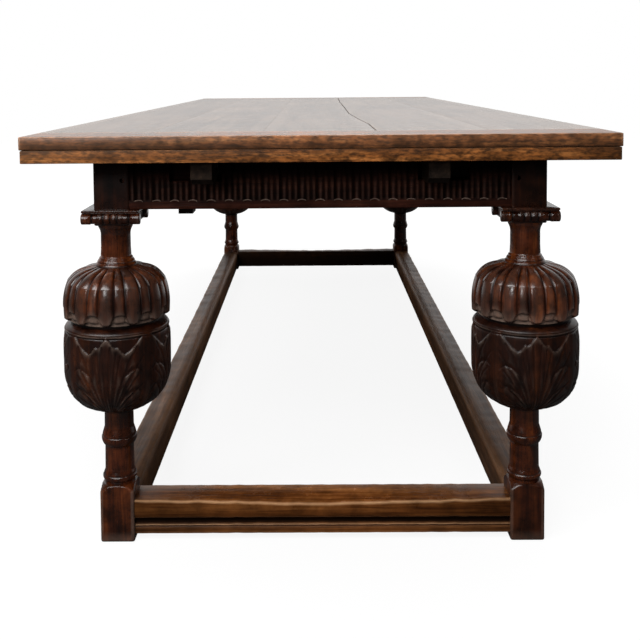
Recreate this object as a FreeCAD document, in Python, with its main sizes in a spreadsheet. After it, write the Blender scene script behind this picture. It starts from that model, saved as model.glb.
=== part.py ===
import FreeCAD, Part
import math
import os
import re

import Sketcher

# Driving dimensions in millimetres, or counts and shares where the name says so.
SIZES = {
    # The top, the leaves below it and the frame that carries them
    "top_length": 2640,
    "top_width": 1026,
    "top_height": 762,
    "top_thick": 23,
    "leaf_set_in": 2,
    "leaf_thick": 22.5,
    "layer_gap": 0.5,
    "slide_gap": 0.3,
    "board_count": 5,
    "outer_cleat": 115,
    "inner_cleat": 80,
    "tongue_long": 15,
    "tongue_thick": 8,
    "bearer_width": 200,
    "bearer_gap": 0.5,
    "locator_radius": 12.5,
    "locator_sink": 12,
    "locator_reach": 33,
    "locator_gap": 0.5,
    # Posts, feet and the joints in them
    "side_overhang": 100.5,
    "end_overhang": 104.5,
    "post_size": 65,
    "post_below": 30,
    "foot_size": 63,
    "foot_height": 105,
    "shoulder_cut": 30,
    "trim_over": 1,
    "joint_gap": 0.2,
    "rail_tenon_long": 25,
    "rail_tenon_thick": 10,
    "rail_tenon_inset": 10,
    "rail_tenon_margin": 12,
    "stretcher_tenon_long": 20,
    "stretcher_tenon_thick": 12,
    "stretcher_tenon_low": 44,
    "stretcher_tenon_high": 72,
    "peg_radius": 4.5,
    "peg_long": 26,
    "peg_up": 52.8,
    "peg_inset": 12,
    # Turned stem of the leg: radii, heights near the foot, and heights as shares of the height of the rails
    "stem_foot": 94,
    "ring_radius": 28,
    "ring_low": 105,
    "ring_high": 121,
    "ring_round": 12.2,
    "ring_step": 1,
    "shaft_radius": 27.4,
    "collar_low_share": 0.2726,
    "collar_high_share": 0.3233,
    "collar_round": 24.6,
    "cup_foot_share": 0.3978,
    "cup_step": 3,
    "cup_foot_radius": 31.4,
    "cup_round": 76.7,
    "cup_belly_share": 0.5099,
    "cup_belly_radius": 97.9,
    "cup_side_round": 1500,
    "cup_rim_share": 0.6209,
    "cup_rim_radius": 98.5,
    "rim_round": 39,
    "rim_top_share": 0.6555,
    "rim_top_radius": 91,
    "waist_low_share": 0.6595,
    "waist_high_share": 0.6683,
    "waist_radius": 82,
    "cover_foot_share": 0.6732,
    "cover_foot_radius": 91,
    "cover_low_share": 0.682,
    "cover_low_radius": 96.3,
    "cover_belly_share": 0.7077,
    "cover_radius": 97,
    "cover_round": 124,
    "shoulder_share": 0.7849,
    "shoulder_radius": 89.2,
    "shoulder_round": 50,
    "crown_share": 0.8211,
    "crown_radius": 59.7,
    "top_ring_low_share": 0.8308,
    "top_ring_foot_radius": 36.5,
    "top_ring_radius": 34.5,
    "top_ring_high_share": 0.8404,
    "neck_ring_radius": 31.8,
    "neck_ring_high_share": 0.8517,
    "neck_radius": 27.5,
    "neck_low_share": 0.8565,
    "neck_high_share": 0.9168,
    "flare_radius": 31.8,
    "flare_drop": 4.7,
    "flare_lap": 2,
    # Lobes of the cover, with a narrow dart between each two, parted by grooves
    "lobe_count": 12,
    "dart_half_degrees": 6.5,
    "lobe_centre_share": 0.7319,
    "lobe_centre_across": 38,
    "lobe_path_radius": 60,
    "lobe_groove_depth": 5,
    "lobe_groove_half": 6.5,
    "lobe_groove_reach": 8,
    "lobe_up_degrees": 74,
    "lobe_down_degrees": 33,
    # Scroll capital round the head of the leg
    "capital_width": 106,
    "capital_depth": 98.5,
    "capital_high": 26,
    "scroll_radius": 10.1,
    "scroll_waist": 7.6,
    "capital_inset": 6,
    "abacus_inset": 1,
    # Rails with their frieze of flutes
    "rail_height": 94,
    "rail_thick": 30,
    "flute_radius": 9.5,
    "flute_depth": 5,
    "flute_foot_up": 22.8,
    "flute_head_up": 85.2,
    "end_flute_count": 21,
    "side_flute_count": 66,
    "notch_inside": 9,
    "notch_outside": 4.5,
    "notch_depth": 15,
    # Stretchers and their moulding, heights from the floor
    "stretcher_depth": 58,
    "stretcher_bottom": 13,
    "lower_band_high": 26.5,
    "cove_low": 31.5,
    "cove_high": 42,
    "cove_depth": 8,
    "band_setback": 3,
    "stretcher_top": 79,
    # Cross rails that guide the runners
    "cross_thick": 25,
    "cross_up": 7.3,
    "cross_tenon_long": 15,
    "cross_tenon_thick": 12,
    "window_gap": 0.5,
    # Runners under the leaves
    "runner_width": 37,
    "runner_share": 0.2,
    "runner_apart": 8.5,
    "runner_setback": 20,
    "runner_nose": 31,
    "runner_bevel": 25,
    "runner_root": 41.2,
    "runner_bar": 45,
    "runner_room": 13.5,
    "draw_rest": 12.5,
    "stop_width": 27,
    "stop_drop": 20,
}

# Levels and lengths that follow from the driving dimensions.
TOP_UNDER = "(top_height - top_thick)"
LEAF_TOP = f"({TOP_UNDER} - layer_gap)"
LEAF_UNDER = f"({LEAF_TOP} - leaf_thick)"
LEAF_WIDTH = "(top_width - 2 * leaf_set_in)"
RAIL_TOP = f"({LEAF_UNDER} - slide_gap)"
RAIL_BOTTOM = f"({RAIL_TOP} - rail_height)"
TOP_END = "(top_length / 2)"
LEAF_INNER = "(bearer_width / 2 + bearer_gap)"
LEAF_LONG = f"({TOP_END} - {LEAF_INNER})"
SLOPE = f"((top_thick + layer_gap) / {LEAF_LONG})"
DRAW_REACH = f"({LEAF_LONG} - draw_rest)"
FRAME_SIDE = "(top_width / 2 - side_overhang)"
FRAME_END = "(top_length / 2 - end_overhang)"
LEG_ACROSS = f"({FRAME_SIDE} - post_size / 2)"
LEG_ALONG = f"({FRAME_END} - post_size / 2)"
END_RAIL_LONG = f"(2 * {LEG_ACROSS} - post_size)"
SIDE_RAIL_LONG = f"(2 * {LEG_ALONG} - post_size)"
END_STRETCHER_LONG = f"(2 * {LEG_ACROSS} - foot_size)"
SIDE_STRETCHER_LONG = f"(2 * {LEG_ALONG} - foot_size)"
TENON_LOW = f"({RAIL_BOTTOM} + rail_tenon_margin)"
TENON_HIGH = f"({RAIL_TOP} - rail_tenon_margin)"
PEG_HEIGHT = f"({RAIL_BOTTOM} + peg_up)"
FLUTE_FOOT = f"({RAIL_BOTTOM} + flute_foot_up)"
FLUTE_HEAD = f"({RAIL_BOTTOM} + flute_head_up)"
CROSS_BOTTOM = f"({RAIL_BOTTOM} + cross_up)"
CROSS_MIDDLE = "(bearer_width / 2 - cross_thick / 2)"
NEAR_RUNNER = "(runner_share * top_width)"
FAR_RUNNER = f"({NEAR_RUNNER} + runner_width + runner_apart)"
RUNNER_END = f"({FRAME_END} - rail_thick - runner_room)"
NOTCH_NEAR = f"({NEAR_RUNNER} - runner_width / 2 - notch_inside)"
NOTCH_FAR = f"({FAR_RUNNER} + runner_width / 2 + notch_outside)"
NOTCH_FLOOR = f"({LEAF_UNDER} - runner_root - {SLOPE} * ({TOP_END} - {FRAME_END} + rail_thick) - window_gap)"
OUTER_SEAM = "(top_width / 2 - top_width / board_count)"
LOCATOR_ACROSS = f"(({OUTER_SEAM} + {FRAME_SIDE} - rail_thick) / 2)"
SCROLL_LOW = f"({RAIL_BOTTOM} - capital_high)"
SCROLL_TOP = f"({SCROLL_LOW} + 2 * scroll_radius)"
POST_FOOT = f"({RAIL_BOTTOM} - post_below)"
FLARE_HIGH = f"({POST_FOOT} + flare_lap)"
FLARE_LOW = f"({POST_FOOT} - flare_drop)"
COLLAR_LOW = f"(collar_low_share * {RAIL_BOTTOM})"
COLLAR_HIGH = f"(collar_high_share * {RAIL_BOTTOM})"
CUP_FOOT = f"(cup_foot_share * {RAIL_BOTTOM})"
CUP_BELLY = f"(cup_belly_share * {RAIL_BOTTOM})"
CUP_RIM = f"(cup_rim_share * {RAIL_BOTTOM})"
RIM_TOP = f"(rim_top_share * {RAIL_BOTTOM})"
WAIST_LOW = f"(waist_low_share * {RAIL_BOTTOM})"
WAIST_HIGH = f"(waist_high_share * {RAIL_BOTTOM})"
COVER_FOOT = f"(cover_foot_share * {RAIL_BOTTOM})"
COVER_LOW = f"(cover_low_share * {RAIL_BOTTOM})"
COVER_BELLY = f"(cover_belly_share * {RAIL_BOTTOM})"
SHOULDER = f"(shoulder_share * {RAIL_BOTTOM})"
CROWN = f"(crown_share * {RAIL_BOTTOM})"
TOP_RING_LOW = f"(top_ring_low_share * {RAIL_BOTTOM})"
TOP_RING_HIGH = f"(top_ring_high_share * {RAIL_BOTTOM})"
NECK_RING_HIGH = f"(neck_ring_high_share * {RAIL_BOTTOM})"
NECK_LOW = f"(neck_low_share * {RAIL_BOTTOM})"
NECK_HIGH = f"(neck_high_share * {RAIL_BOTTOM})"
LOBE_CENTRE = f"(lobe_centre_share * {RAIL_BOTTOM})"

Z_AXIS = FreeCAD.Vector(0, 0, 1)
Y_AXIS = FreeCAD.Vector(0, 1, 0)
X_AXIS = FreeCAD.Vector(1, 0, 0)
WORD = re.compile(r"[a-z]+(?:_[a-z]+)*")

doc = FreeCAD.newDocument("draw_leaf_table")
sheet = doc.addObject("Spreadsheet::Sheet", "sheet")
for row, (alias, size) in enumerate(SIZES.items(), start=1):
    sheet.set(f"A{row}", alias)
    sheet.set(f"B{row}", str(size))
    sheet.setAlias(f"B{row}", alias)
doc.recompute()

nodes = []


def cells(text):
    """The expression text with each named size turned into a reference to its cell."""
    return WORD.sub(lambda word: "sheet." + word.group() if word.group() in SIZES else word.group(), text)


def number(text):
    """The present value of an expression in millimetres."""
    value = sheet.evalExpression(cells(text).replace("sheet.", ""))
    return float(getattr(value, "Value", value))


def bind(thing, **sizes):
    """Binds properties of an object to expressions of the named sizes."""
    for name, text in sizes.items():
        thing.setExpression(name, cells(text))
    return thing


def place(thing, x="0", y="0", z="0", axis=Z_AXIS, degrees=0):
    """Turns an object about an axis through its own origin and moves that origin to x, y, z."""
    thing.Placement = FreeCAD.Placement(FreeCAD.Vector(), FreeCAD.Rotation(axis, degrees))
    for name, text in (("x", x), ("y", y), ("z", z)):
        thing.setExpression(f"Placement.Base.{name}", cells(text))
    return thing


def node(thing, label):
    """Keeps an object as a finished sub-part of that name."""
    thing.Label = label
    nodes.append(thing)
    return thing


def block(x, y, z, name="block"):
    """A box given by its low and high bounds along each axis, as pairs of expressions."""
    box = doc.addObject("Part::Box", name)
    for side, (low, high) in (("Length", x), ("Width", y), ("Height", z)):
        box.setExpression(side, cells(f"({high}) - ({low})"))
    return place(box, x[0], y[0], z[0])


def about(middle, width):
    """Bounds of a span of some width about its middle."""
    return f"({middle}) - ({width}) / 2", f"({middle}) + ({width}) / 2"


def rod(radius, length, x, y, z, axis=Z_AXIS, degrees=0):
    """A round rod that starts at x, y, z and runs along its turned axis."""
    cylinder = doc.addObject("Part::Cylinder", "rod")
    bind(cylinder, Radius=radius, Height=length)
    return place(cylinder, x, y, z, axis, degrees)


def joined(*things):
    """One solid made of several."""
    fuse = doc.addObject("Part::MultiFuse", "joined")
    fuse.Shapes = list(things)
    fuse.Refine = True
    return fuse


def pared(base, *tools):
    """A solid with several others cut out of it."""
    cut = doc.addObject("Part::Cut", "pared")
    cut.Base = base
    cut.Tool = tools[0] if len(tools) == 1 else joined(*tools)
    cut.Refine = True
    return cut


def group(*things):
    """Several separate solids kept as one sub-part."""
    compound = doc.addObject("Part::Compound", "group")
    compound.Links = list(things)
    return compound


def origin_feature(body, role):
    """A plane or an axis of a body's own origin."""
    return next(item for item in body.Origin.OriginFeatures if item.Role == role)


def sketch_on(body, plane, offset="0", degrees=0):
    """An empty sketch on one of the body's planes, moved along the plane's normal and turned about it."""
    sketch = body.newObject("Sketcher::SketchObject", "profile")
    sketch.AttachmentSupport = [(origin_feature(body, plane), "")]
    sketch.MapMode = "FlatFace"
    sketch.AttachmentOffset = FreeCAD.Placement(FreeCAD.Vector(), FreeCAD.Rotation(Z_AXIS, degrees))
    sketch.setExpression("AttachmentOffset.Base.z", cells(offset))
    return sketch


def pin_point(sketch, index, end, x, y):
    """Ties one end of a sketch line to a place given by two expressions."""
    for kind, axis_id, text in (("DistanceX", -2, x), ("DistanceY", -1, y)):
        value = number(text)
        if abs(value) < 1e-9:
            sketch.addConstraint(Sketcher.Constraint("PointOnObject", index, end, axis_id))
            continue
        ends = (-1, 1, index, end) if value > 0 else (index, end, -1, 1)
        made = sketch.addConstraint(Sketcher.Constraint(kind, *ends, abs(value)))
        sketch.setExpression(f"Constraints[{made}]", cells(text if value > 0 else f"-({text})"))


def arc_between(start, end, radius, left):
    """The arc from start to end that turns left or right, and the ids of its travel start and end."""
    chord = end - start
    middle = start + chord * 0.5
    rise = math.sqrt(radius**2 - (chord.Length / 2) ** 2)
    side = FreeCAD.Vector(-chord.y, chord.x, 0).normalize()
    centre = middle + side * (rise if left else -rise)
    first, last = (start, end) if left else (end, start)
    angles = [math.atan2(point.y - centre.y, point.x - centre.x) for point in (first, last)]
    circle = Part.Circle(centre, Z_AXIS, radius)
    return Part.ArcOfCircle(circle, *angles), ((1, 2) if left else (2, 1))


def outline(sketch, points):
    """Draws a closed outline. Each point is (x, y), or (x, y, radius, left) where an arc leaves it."""
    spots = [FreeCAD.Vector(number(point[0]), number(point[1]), 0) for point in points]
    ends = []
    for index, point in enumerate(points):
        start, stop = spots[index], spots[(index + 1) % len(spots)]
        if len(point) == 2:
            sketch.addGeometry(Part.LineSegment(start, stop))
            ends.append((1, 2))
            continue
        arc, ids = arc_between(start, stop, number(point[2]), point[3])
        sketch.addGeometry(arc)
        ends.append(ids)
    for index, point in enumerate(points):
        after = (index + 1) % len(points)
        sketch.addConstraint(Sketcher.Constraint("Coincident", index, ends[index][1], after, ends[after][0]))
        pin_point(sketch, index, ends[index][0], point[0], point[1])
        if len(point) > 2:
            made = sketch.addConstraint(Sketcher.Constraint("Radius", index, number(point[2])))
            sketch.setExpression(f"Constraints[{made}]", cells(point[2]))
    return sketch


def axis_line(sketch, start, end):
    """Adds a construction line to turn about, and gives the link to it."""
    spots = [FreeCAD.Vector(number(x), number(y), 0) for x, y in (start, end)]
    index = sketch.addGeometry(Part.LineSegment(*spots), True)
    pin_point(sketch, index, 1, *start)
    pin_point(sketch, index, 2, *end)
    return sketch, ["Axis0"]


def rectangle(x, y):
    """Corners of a rectangle given by its bounds."""
    return [(x[0], y[0]), (x[1], y[0]), (x[1], y[1]), (x[0], y[1])]


def pad(body, sketch, length, symmetric=False):
    """Extrudes a sketch along its normal."""
    made = body.newObject("PartDesign::Pad", "pad")
    made.Profile = sketch
    made.SideType = "Symmetric" if symmetric else "One side"
    return bind(made, Length=length)


def revolved(body, kind, sketch, axis):
    """Turns a sketch right round an axis, adding a Revolution or cutting a Groove."""
    made = body.newObject(f"PartDesign::{kind}", kind.lower())
    made.Profile = sketch
    made.ReferenceAxis = axis
    made.Angle = 360
    return made


def recess(body, x, y, z):
    """Cuts a box out of a body, given by its bounds in the body's own frame."""
    made = body.newObject("PartDesign::SubtractiveBox", "recess")
    for side, (low, high) in (("Length", x), ("Width", y), ("Height", z)):
        made.setExpression(side, cells(f"({high}) - ({low})"))
    return place(made, x[0], y[0], z[0])


def bore(body, radius, depth, x, y, z, axis, degrees):
    """Cuts a round hole that starts at x, y, z and runs along its turned axis."""
    made = body.newObject("PartDesign::SubtractiveCylinder", "bore")
    bind(made, Radius=radius, Height=depth)
    return place(made, x, y, z, axis, degrees)


LEG_PROFILE = [
    ("0", "stem_foot"),
    ("ring_radius", "stem_foot"),
    ("ring_radius", "ring_low", "ring_round", True),
    ("ring_radius", "ring_high"),
    ("shaft_radius", "ring_high + ring_step"),
    ("shaft_radius", COLLAR_LOW, "collar_round", True),
    ("shaft_radius", COLLAR_HIGH),
    ("shaft_radius", f"{CUP_FOOT} - cup_step"),
    ("cup_foot_radius", CUP_FOOT, "cup_round", True),
    ("cup_belly_radius", CUP_BELLY, "cup_side_round", True),
    ("cup_rim_radius", CUP_RIM, "rim_round", True),
    ("rim_top_radius", RIM_TOP),
    ("waist_radius", WAIST_LOW),
    ("waist_radius", WAIST_HIGH),
    ("cover_foot_radius", COVER_FOOT),
    ("cover_low_radius", COVER_LOW),
    ("cover_radius", COVER_BELLY, "cover_round", True),
    ("shoulder_radius", SHOULDER, "shoulder_round", True),
    ("crown_radius", CROWN),
    ("top_ring_foot_radius", TOP_RING_LOW),
    ("top_ring_radius", TOP_RING_LOW),
    ("top_ring_radius", TOP_RING_HIGH),
    ("neck_ring_radius", TOP_RING_HIGH),
    ("neck_ring_radius", NECK_RING_HIGH),
    ("neck_radius", NECK_LOW),
    ("neck_radius", NECK_HIGH),
    ("flare_radius", FLARE_LOW),
    ("flare_radius", FLARE_HIGH),
    ("0", FLARE_HIGH),
]


def leg_mortises(body):
    """Mortises for two rails and two stretchers, whose tenons come in along x and along y."""
    outer = "(-post_size / 2 + rail_tenon_inset)"
    rail_across = (f"{outer} - joint_gap", f"{outer} + rail_tenon_thick + joint_gap")
    rail_along = ("post_size / 2 - rail_tenon_long - joint_gap", "post_size")
    rail_up = (f"{TENON_LOW} - joint_gap", f"{TENON_HIGH} + joint_gap")
    foot_across = about("0", "stretcher_tenon_thick + 2 * joint_gap")
    foot_along = ("foot_size / 2 - stretcher_tenon_long - joint_gap", "foot_size")
    foot_up = ("stretcher_tenon_low - joint_gap", "stretcher_tenon_high + joint_gap")
    for along, across, up in ((rail_along, rail_across, rail_up), (foot_along, foot_across, foot_up)):
        recess(body, along, across, up)
        recess(body, across, along, up)


def leg_peg_holes(body):
    """Holes from the two outer faces of the post through the rail tenons."""
    reach = "post_size / 2 - peg_inset"
    hole = "peg_radius + joint_gap"
    bore(body, hole, "peg_long + joint_gap", reach, "-post_size / 2", PEG_HEIGHT, X_AXIS, -90)
    bore(body, hole, "peg_long + joint_gap", "-post_size / 2", reach, PEG_HEIGHT, Y_AXIS, 90)


def lobe_groove(body, degrees):
    """One groove over the dome of the cover, some degrees round from the leg's own x."""
    sketch = sketch_on(body, "XY_Plane", LOBE_CENTRE, degrees)
    inner = "lobe_centre_across + lobe_path_radius - lobe_groove_depth"
    outer = "lobe_centre_across + lobe_path_radius + lobe_groove_reach"
    outline(sketch, [(inner, "0"), (outer, "-lobe_groove_half"), (outer, "lobe_groove_half")])
    ends = (("lobe_centre_across", "-lobe_groove_half"), ("lobe_centre_across", "lobe_groove_half"))
    axis = axis_line(sketch, *ends)
    groove = revolved(body, "Groove", sketch, axis)
    groove.Type = "TwoAngles"
    return bind(groove, Angle="lobe_down_degrees", Angle2="lobe_up_degrees")


def leg_lobes(body):
    """Pairs of grooves that leave a ring of lobes with a narrow dart between each two."""
    sides = ("180 / lobe_count - dart_half_degrees", "180 / lobe_count + dart_half_degrees")
    grooves = [lobe_groove(body, number(side)) for side in sides]
    pattern = body.newObject("PartDesign::PolarPattern", "lobes")
    pattern.Originals = grooves
    pattern.Axis = (origin_feature(body, "Z_Axis"), [""])
    pattern.Angle = 360
    bind(pattern, Occurrences="lobe_count")
    body.Tip = pattern


def leg(label, x, y, degrees):
    """A leg turned from one square, drawn with its outer faces towards -x and -y."""
    body = doc.addObject("PartDesign::Body", "leg")
    foot = outline(sketch_on(body, "XY_Plane"), rectangle(about("0", "foot_size"), about("0", "foot_size")))
    pad(body, foot, "foot_height")
    shoulder = [
        ("foot_size / 2 + trim_over", "foot_height + trim_over"),
        ("foot_size", "foot_height + trim_over"),
        ("foot_size", "foot_height - shoulder_cut"),
    ]
    trimmed = outline(sketch_on(body, "XZ_Plane"), shoulder)
    revolved(body, "Groove", trimmed, (trimmed, ["V_Axis"]))
    turned = outline(sketch_on(body, "XZ_Plane"), LEG_PROFILE)
    revolved(body, "Revolution", turned, (turned, ["V_Axis"]))
    head = sketch_on(body, "XY_Plane", POST_FOOT)
    outline(head, rectangle(about("0", "post_size"), about("0", "post_size")))
    pad(body, head, f"{RAIL_TOP} - {POST_FOOT}")
    leg_mortises(body)
    leg_peg_holes(body)
    leg_lobes(body)
    return node(place(body, x, y, "0", Z_AXIS, degrees), label)


def capital(label, x, y):
    """A ring of wood round the post: two rolls along x, a core between them and a thin plate on top."""
    rolls = []
    for across in ("-1", "1"):
        middle = f"{across} * (capital_depth / 2 - scroll_radius)"
        for end, degrees in (("-1", 90), ("1", -90)):
            cone = doc.addObject("Part::Cone", "roll")
            bind(cone, Radius1="scroll_radius", Radius2="scroll_waist", Height="capital_width / 2")
            level = f"{SCROLL_LOW} + scroll_radius"
            rolls.append(place(cone, f"{end} * capital_width / 2", middle, level, Y_AXIS, degrees))
    core_across = about("0", "capital_width - 2 * capital_inset")
    core = block(core_across, about("0", "capital_depth - 2 * scroll_radius"), (SCROLL_LOW, SCROLL_TOP))
    plate = block(
        about("0", "capital_width - 2 * abacus_inset"),
        about("0", "capital_depth - 2 * abacus_inset"),
        (f"{SCROLL_TOP} - abacus_inset", RAIL_BOTTOM),
    )
    hole = block(about("0", "post_size"), about("0", "post_size"), ("foot_height", "top_height"))
    return node(place(pared(joined(*rolls, core, plate), hole), x, y), label)


def flutes(body, length, count):
    """A row of round-ended flutes along the outer face of a rail."""
    first = f"(-({length}) / 2 + ({length}) / {count} / 2)"
    edge = f"{first} + flute_radius"
    sketch = sketch_on(body, "XZ_Plane", "flute_radius - flute_depth")
    points = [
        (first, f"{FLUTE_FOOT} - flute_radius", "flute_radius", True),
        (edge, FLUTE_FOOT),
        (edge, FLUTE_HEAD),
        (first, FLUTE_HEAD),
    ]
    axis = axis_line(outline(sketch, points), (first, FLUTE_FOOT), (first, FLUTE_HEAD))
    groove = revolved(body, "Groove", sketch, axis)
    pattern = body.newObject("PartDesign::LinearPattern", "flutes")
    pattern.Originals = [groove]
    pattern.Direction = (origin_feature(body, "X_Axis"), [""])
    bind(pattern, Length=f"({length}) * ({count} - 1) / {count}", Occurrences=count)
    body.Tip = pattern


def rail(label, length, count, x, y, degrees, runner_across=None):
    """A rail drawn along x with its outer face on y = 0, slotted where runners go through it."""
    body = doc.addObject("PartDesign::Body", "rail")
    face = sketch_on(body, "XY_Plane", RAIL_BOTTOM)
    outline(face, rectangle(about("0", length), ("0", "rail_thick")))
    pad(body, face, "rail_height")
    tenon_across = ("rail_tenon_inset", "rail_tenon_inset + rail_tenon_thick")
    tenon = sketch_on(body, "XY_Plane", TENON_LOW)
    outline(tenon, rectangle(about("0", f"{length} + 2 * rail_tenon_long"), tenon_across))
    pad(body, tenon, f"{TENON_HIGH} - {TENON_LOW}")
    for side in ("-1", "1"):
        spot = f"{side} * ({length} / 2 + peg_inset)"
        bore(body, "peg_radius + joint_gap", "rail_thick", spot, "0", PEG_HEIGHT, X_AXIS, -90)
    if runner_across:
        up = (NOTCH_FLOOR, "top_height")
        for side, span in (("-1", (f"-{NOTCH_FAR}", f"-{NOTCH_NEAR}")), ("1", (NOTCH_NEAR, NOTCH_FAR))):
            recess(body, span, ("-rail_thick", "notch_depth"), up)
            slot = about(f"{side} * {runner_across}", "runner_width + 2 * window_gap")
            recess(body, slot, ("-rail_thick", "2 * rail_thick"), up)
    else:
        for middle in (CROSS_MIDDLE, f"-{CROSS_MIDDLE}"):
            across = about(middle, "cross_tenon_thick + 2 * joint_gap")
            depth = ("rail_thick - cross_tenon_long - joint_gap", "2 * rail_thick")
            low = f"{CROSS_BOTTOM} + rail_tenon_margin - joint_gap"
            recess(body, across, depth, (low, f"{TENON_HIGH} + joint_gap"))
    flutes(body, length, count)
    return node(place(body, x, y, "0", Z_AXIS, degrees), label)


def stretcher(label, length, x, y, degrees):
    """A moulded stretcher drawn along x with its outer face towards -y, with a tenon on each end."""
    body = doc.addObject("PartDesign::Body", "stretcher")
    front = "-stretcher_depth / 2"
    profile = [
        ("stretcher_depth / 2", "stretcher_bottom"),
        ("stretcher_depth / 2", "stretcher_top"),
        (front, "stretcher_top"),
        (front, "cove_high"),
        (f"{front} + cove_depth", "cove_high"),
        (f"{front} + cove_depth", "cove_low"),
        (f"{front} + band_setback", "lower_band_high"),
        (f"{front} + band_setback", "stretcher_bottom"),
    ]
    pad(body, outline(sketch_on(body, "YZ_Plane"), profile), length, symmetric=True)
    tenon = sketch_on(body, "YZ_Plane")
    tenon_up = ("stretcher_tenon_low", "stretcher_tenon_high")
    outline(tenon, rectangle(about("0", "stretcher_tenon_thick"), tenon_up))
    pad(body, tenon, f"{length} + 2 * stretcher_tenon_long", symmetric=True)
    return node(place(body, x, y, "0", Z_AXIS, degrees), label)


def rail_pegs():
    """A peg in each outer face of each post, driven through the rail tenon behind it."""
    pegs = []
    inward = "(post_size - peg_inset)"
    for x_sign, y_sign in ((-1, -1), (1, -1), (-1, 1), (1, 1)):
        side, end = f"{x_sign} * {FRAME_SIDE}", f"{y_sign} * {FRAME_END}"
        beside = f"{x_sign} * ({FRAME_SIDE} - {inward})"
        behind = f"{y_sign} * ({FRAME_END} - {inward})"
        pegs.append(rod("peg_radius", "peg_long", beside, end, PEG_HEIGHT, X_AXIS, 90 * y_sign))
        pegs.append(rod("peg_radius", "peg_long", side, behind, PEG_HEIGHT, Y_AXIS, -90 * x_sign))
    return node(group(*pegs), "rail_pegs")


def bar_line(y):
    """Height of a near runner's sloping lower edge at y."""
    return f"({LEAF_UNDER} - runner_root - {SLOPE} * ({TOP_END} + ({y})))"


def cross_rail(label, degrees):
    """A rail under an edge of the bearer: windows for its own leaf's runners, notches for the other's."""
    outer, inner = "-bearer_width / 2", "-bearer_width / 2 + cross_thick"
    long = f"2 * ({FRAME_SIDE} - rail_thick)"
    board = block(about("0", long), (outer, inner), (CROSS_BOTTOM, RAIL_TOP))
    tenon = block(
        about("0", f"{long} + 2 * cross_tenon_long"),
        about(f"-{CROSS_MIDDLE}", "cross_tenon_thick"),
        (f"{CROSS_BOTTOM} + rail_tenon_margin", TENON_HIGH),
    )
    own, other = NEAR_RUNNER, FAR_RUNNER
    if degrees:
        own, other = other, own
    through = ("-bearer_width", "0")
    tools = []
    for side in ("-1", "1"):
        window = about(f"{side} * {own}", "runner_width + 2 * window_gap")
        low, high = f"{bar_line(inner)} - window_gap", f"{bar_line(outer)} + runner_bar + window_gap"
        tools.append(block(window, through, (low, high)))
        notch = about(f"{side} * {other}", "runner_width + 2 * window_gap")
        rise = f"{bar_line(f'-({inner})')} + runner_bar + window_gap"
        tools.append(block(notch, through, ("stretcher_top", rise)))
    return node(place(pared(joined(board, tenon), *tools), degrees=degrees), label)


def bearer():
    """The fixed board between the leaves, with two holes for the top's pegs."""
    board = block(about("0", LEAF_WIDTH), about("0", "bearer_width"), (RAIL_TOP, TOP_UNDER))
    holes = []
    for side in ("-1", "1"):
        spot = f"{side} * {LOCATOR_ACROSS}"
        holes.append(rod("locator_radius + locator_gap", "top_height", spot, "0", RAIL_BOTTOM))
    return node(pared(board, *holes), "centre_bearer")


def boards(name, width, y, levels, degrees=0, sunk=False):
    """Boards side by side with tongues on both ends, and the number of each in its name."""
    one = f"({width} / board_count)"
    middle = f"(({levels[0]}) + ({levels[1]})) / 2"
    tongue_y = (f"{y[0]} - tongue_long", f"{y[1]} + tongue_long")
    for index in range(SIZES["board_count"]):
        across = (f"-{width} / 2 + {index} * {one}", f"-{width} / 2 + {index + 1} * {one}")
        plank = block(across, y, levels)
        tongue = block(across, tongue_y, about(middle, "tongue_thick"))
        made = joined(plank, tongue)
        if sunk and index in (0, SIZES["board_count"] - 1):
            spot = f"-{LOCATOR_ACROSS}" if index == 0 else LOCATOR_ACROSS
            made = pared(made, rod("locator_radius + joint_gap", "locator_sink", spot, "0", levels[0]))
        node(place(made, degrees=degrees), f"{name}_board_{index + 1}")


def cleat(label, width, y, levels, tongue_side, degrees=0):
    """A board across the ends of others, grooved along one edge for their tongues."""
    body = block(about("0", width), y, levels)
    edge = y[tongue_side]
    groove_y = (edge, f"{edge} + tongue_long") if tongue_side == 0 else (f"{edge} - tongue_long", edge)
    middle = f"(({levels[0]}) + ({levels[1]})) / 2"
    groove = block(about("0", f"2 * {width}"), groove_y, about(middle, "tongue_thick"))
    return node(place(pared(body, groove), degrees=degrees), label)


def runner(label, x, degrees):
    """A tapered runner: full depth under the leaf, then a bar that slopes down to the frame's far end."""
    body = doc.addObject("PartDesign::Body", "runner")
    nose = f"-{TOP_END} + runner_setback"
    bevel = f"{nose} + runner_bevel"
    step = f"-{LEAF_INNER} - bearer_gap"
    points = [
        (nose, LEAF_UNDER),
        (nose, f"{LEAF_UNDER} - runner_nose"),
        (bevel, bar_line(bevel)),
        (RUNNER_END, bar_line(RUNNER_END)),
        (RUNNER_END, f"{bar_line(RUNNER_END)} + runner_bar"),
        (step, f"{bar_line(step)} + runner_bar"),
        (step, LEAF_UNDER),
    ]
    pad(body, outline(sketch_on(body, "YZ_Plane"), points), "runner_width", symmetric=True)
    turned_x = x if degrees == 0 else f"-({x})"
    return node(place(body, turned_x, degrees=degrees), label)


def stop_block(label, x, degrees):
    """A block under the inner end of a runner that meets the cross rail when the leaf is fully drawn."""
    face = f"{DRAW_REACH} - bearer_width / 2 + cross_thick"
    body = doc.addObject("PartDesign::Body", "stop")
    points = [
        (face, f"{bar_line(RUNNER_END)} - stop_drop"),
        (RUNNER_END, f"{bar_line(RUNNER_END)} - stop_drop"),
        (RUNNER_END, bar_line(RUNNER_END)),
        (face, bar_line(face)),
    ]
    pad(body, outline(sketch_on(body, "YZ_Plane"), points), "stop_width", symmetric=True)
    turned_x = x if degrees == 0 else f"-({x})"
    return node(place(body, turned_x, degrees=degrees), label)


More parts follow.
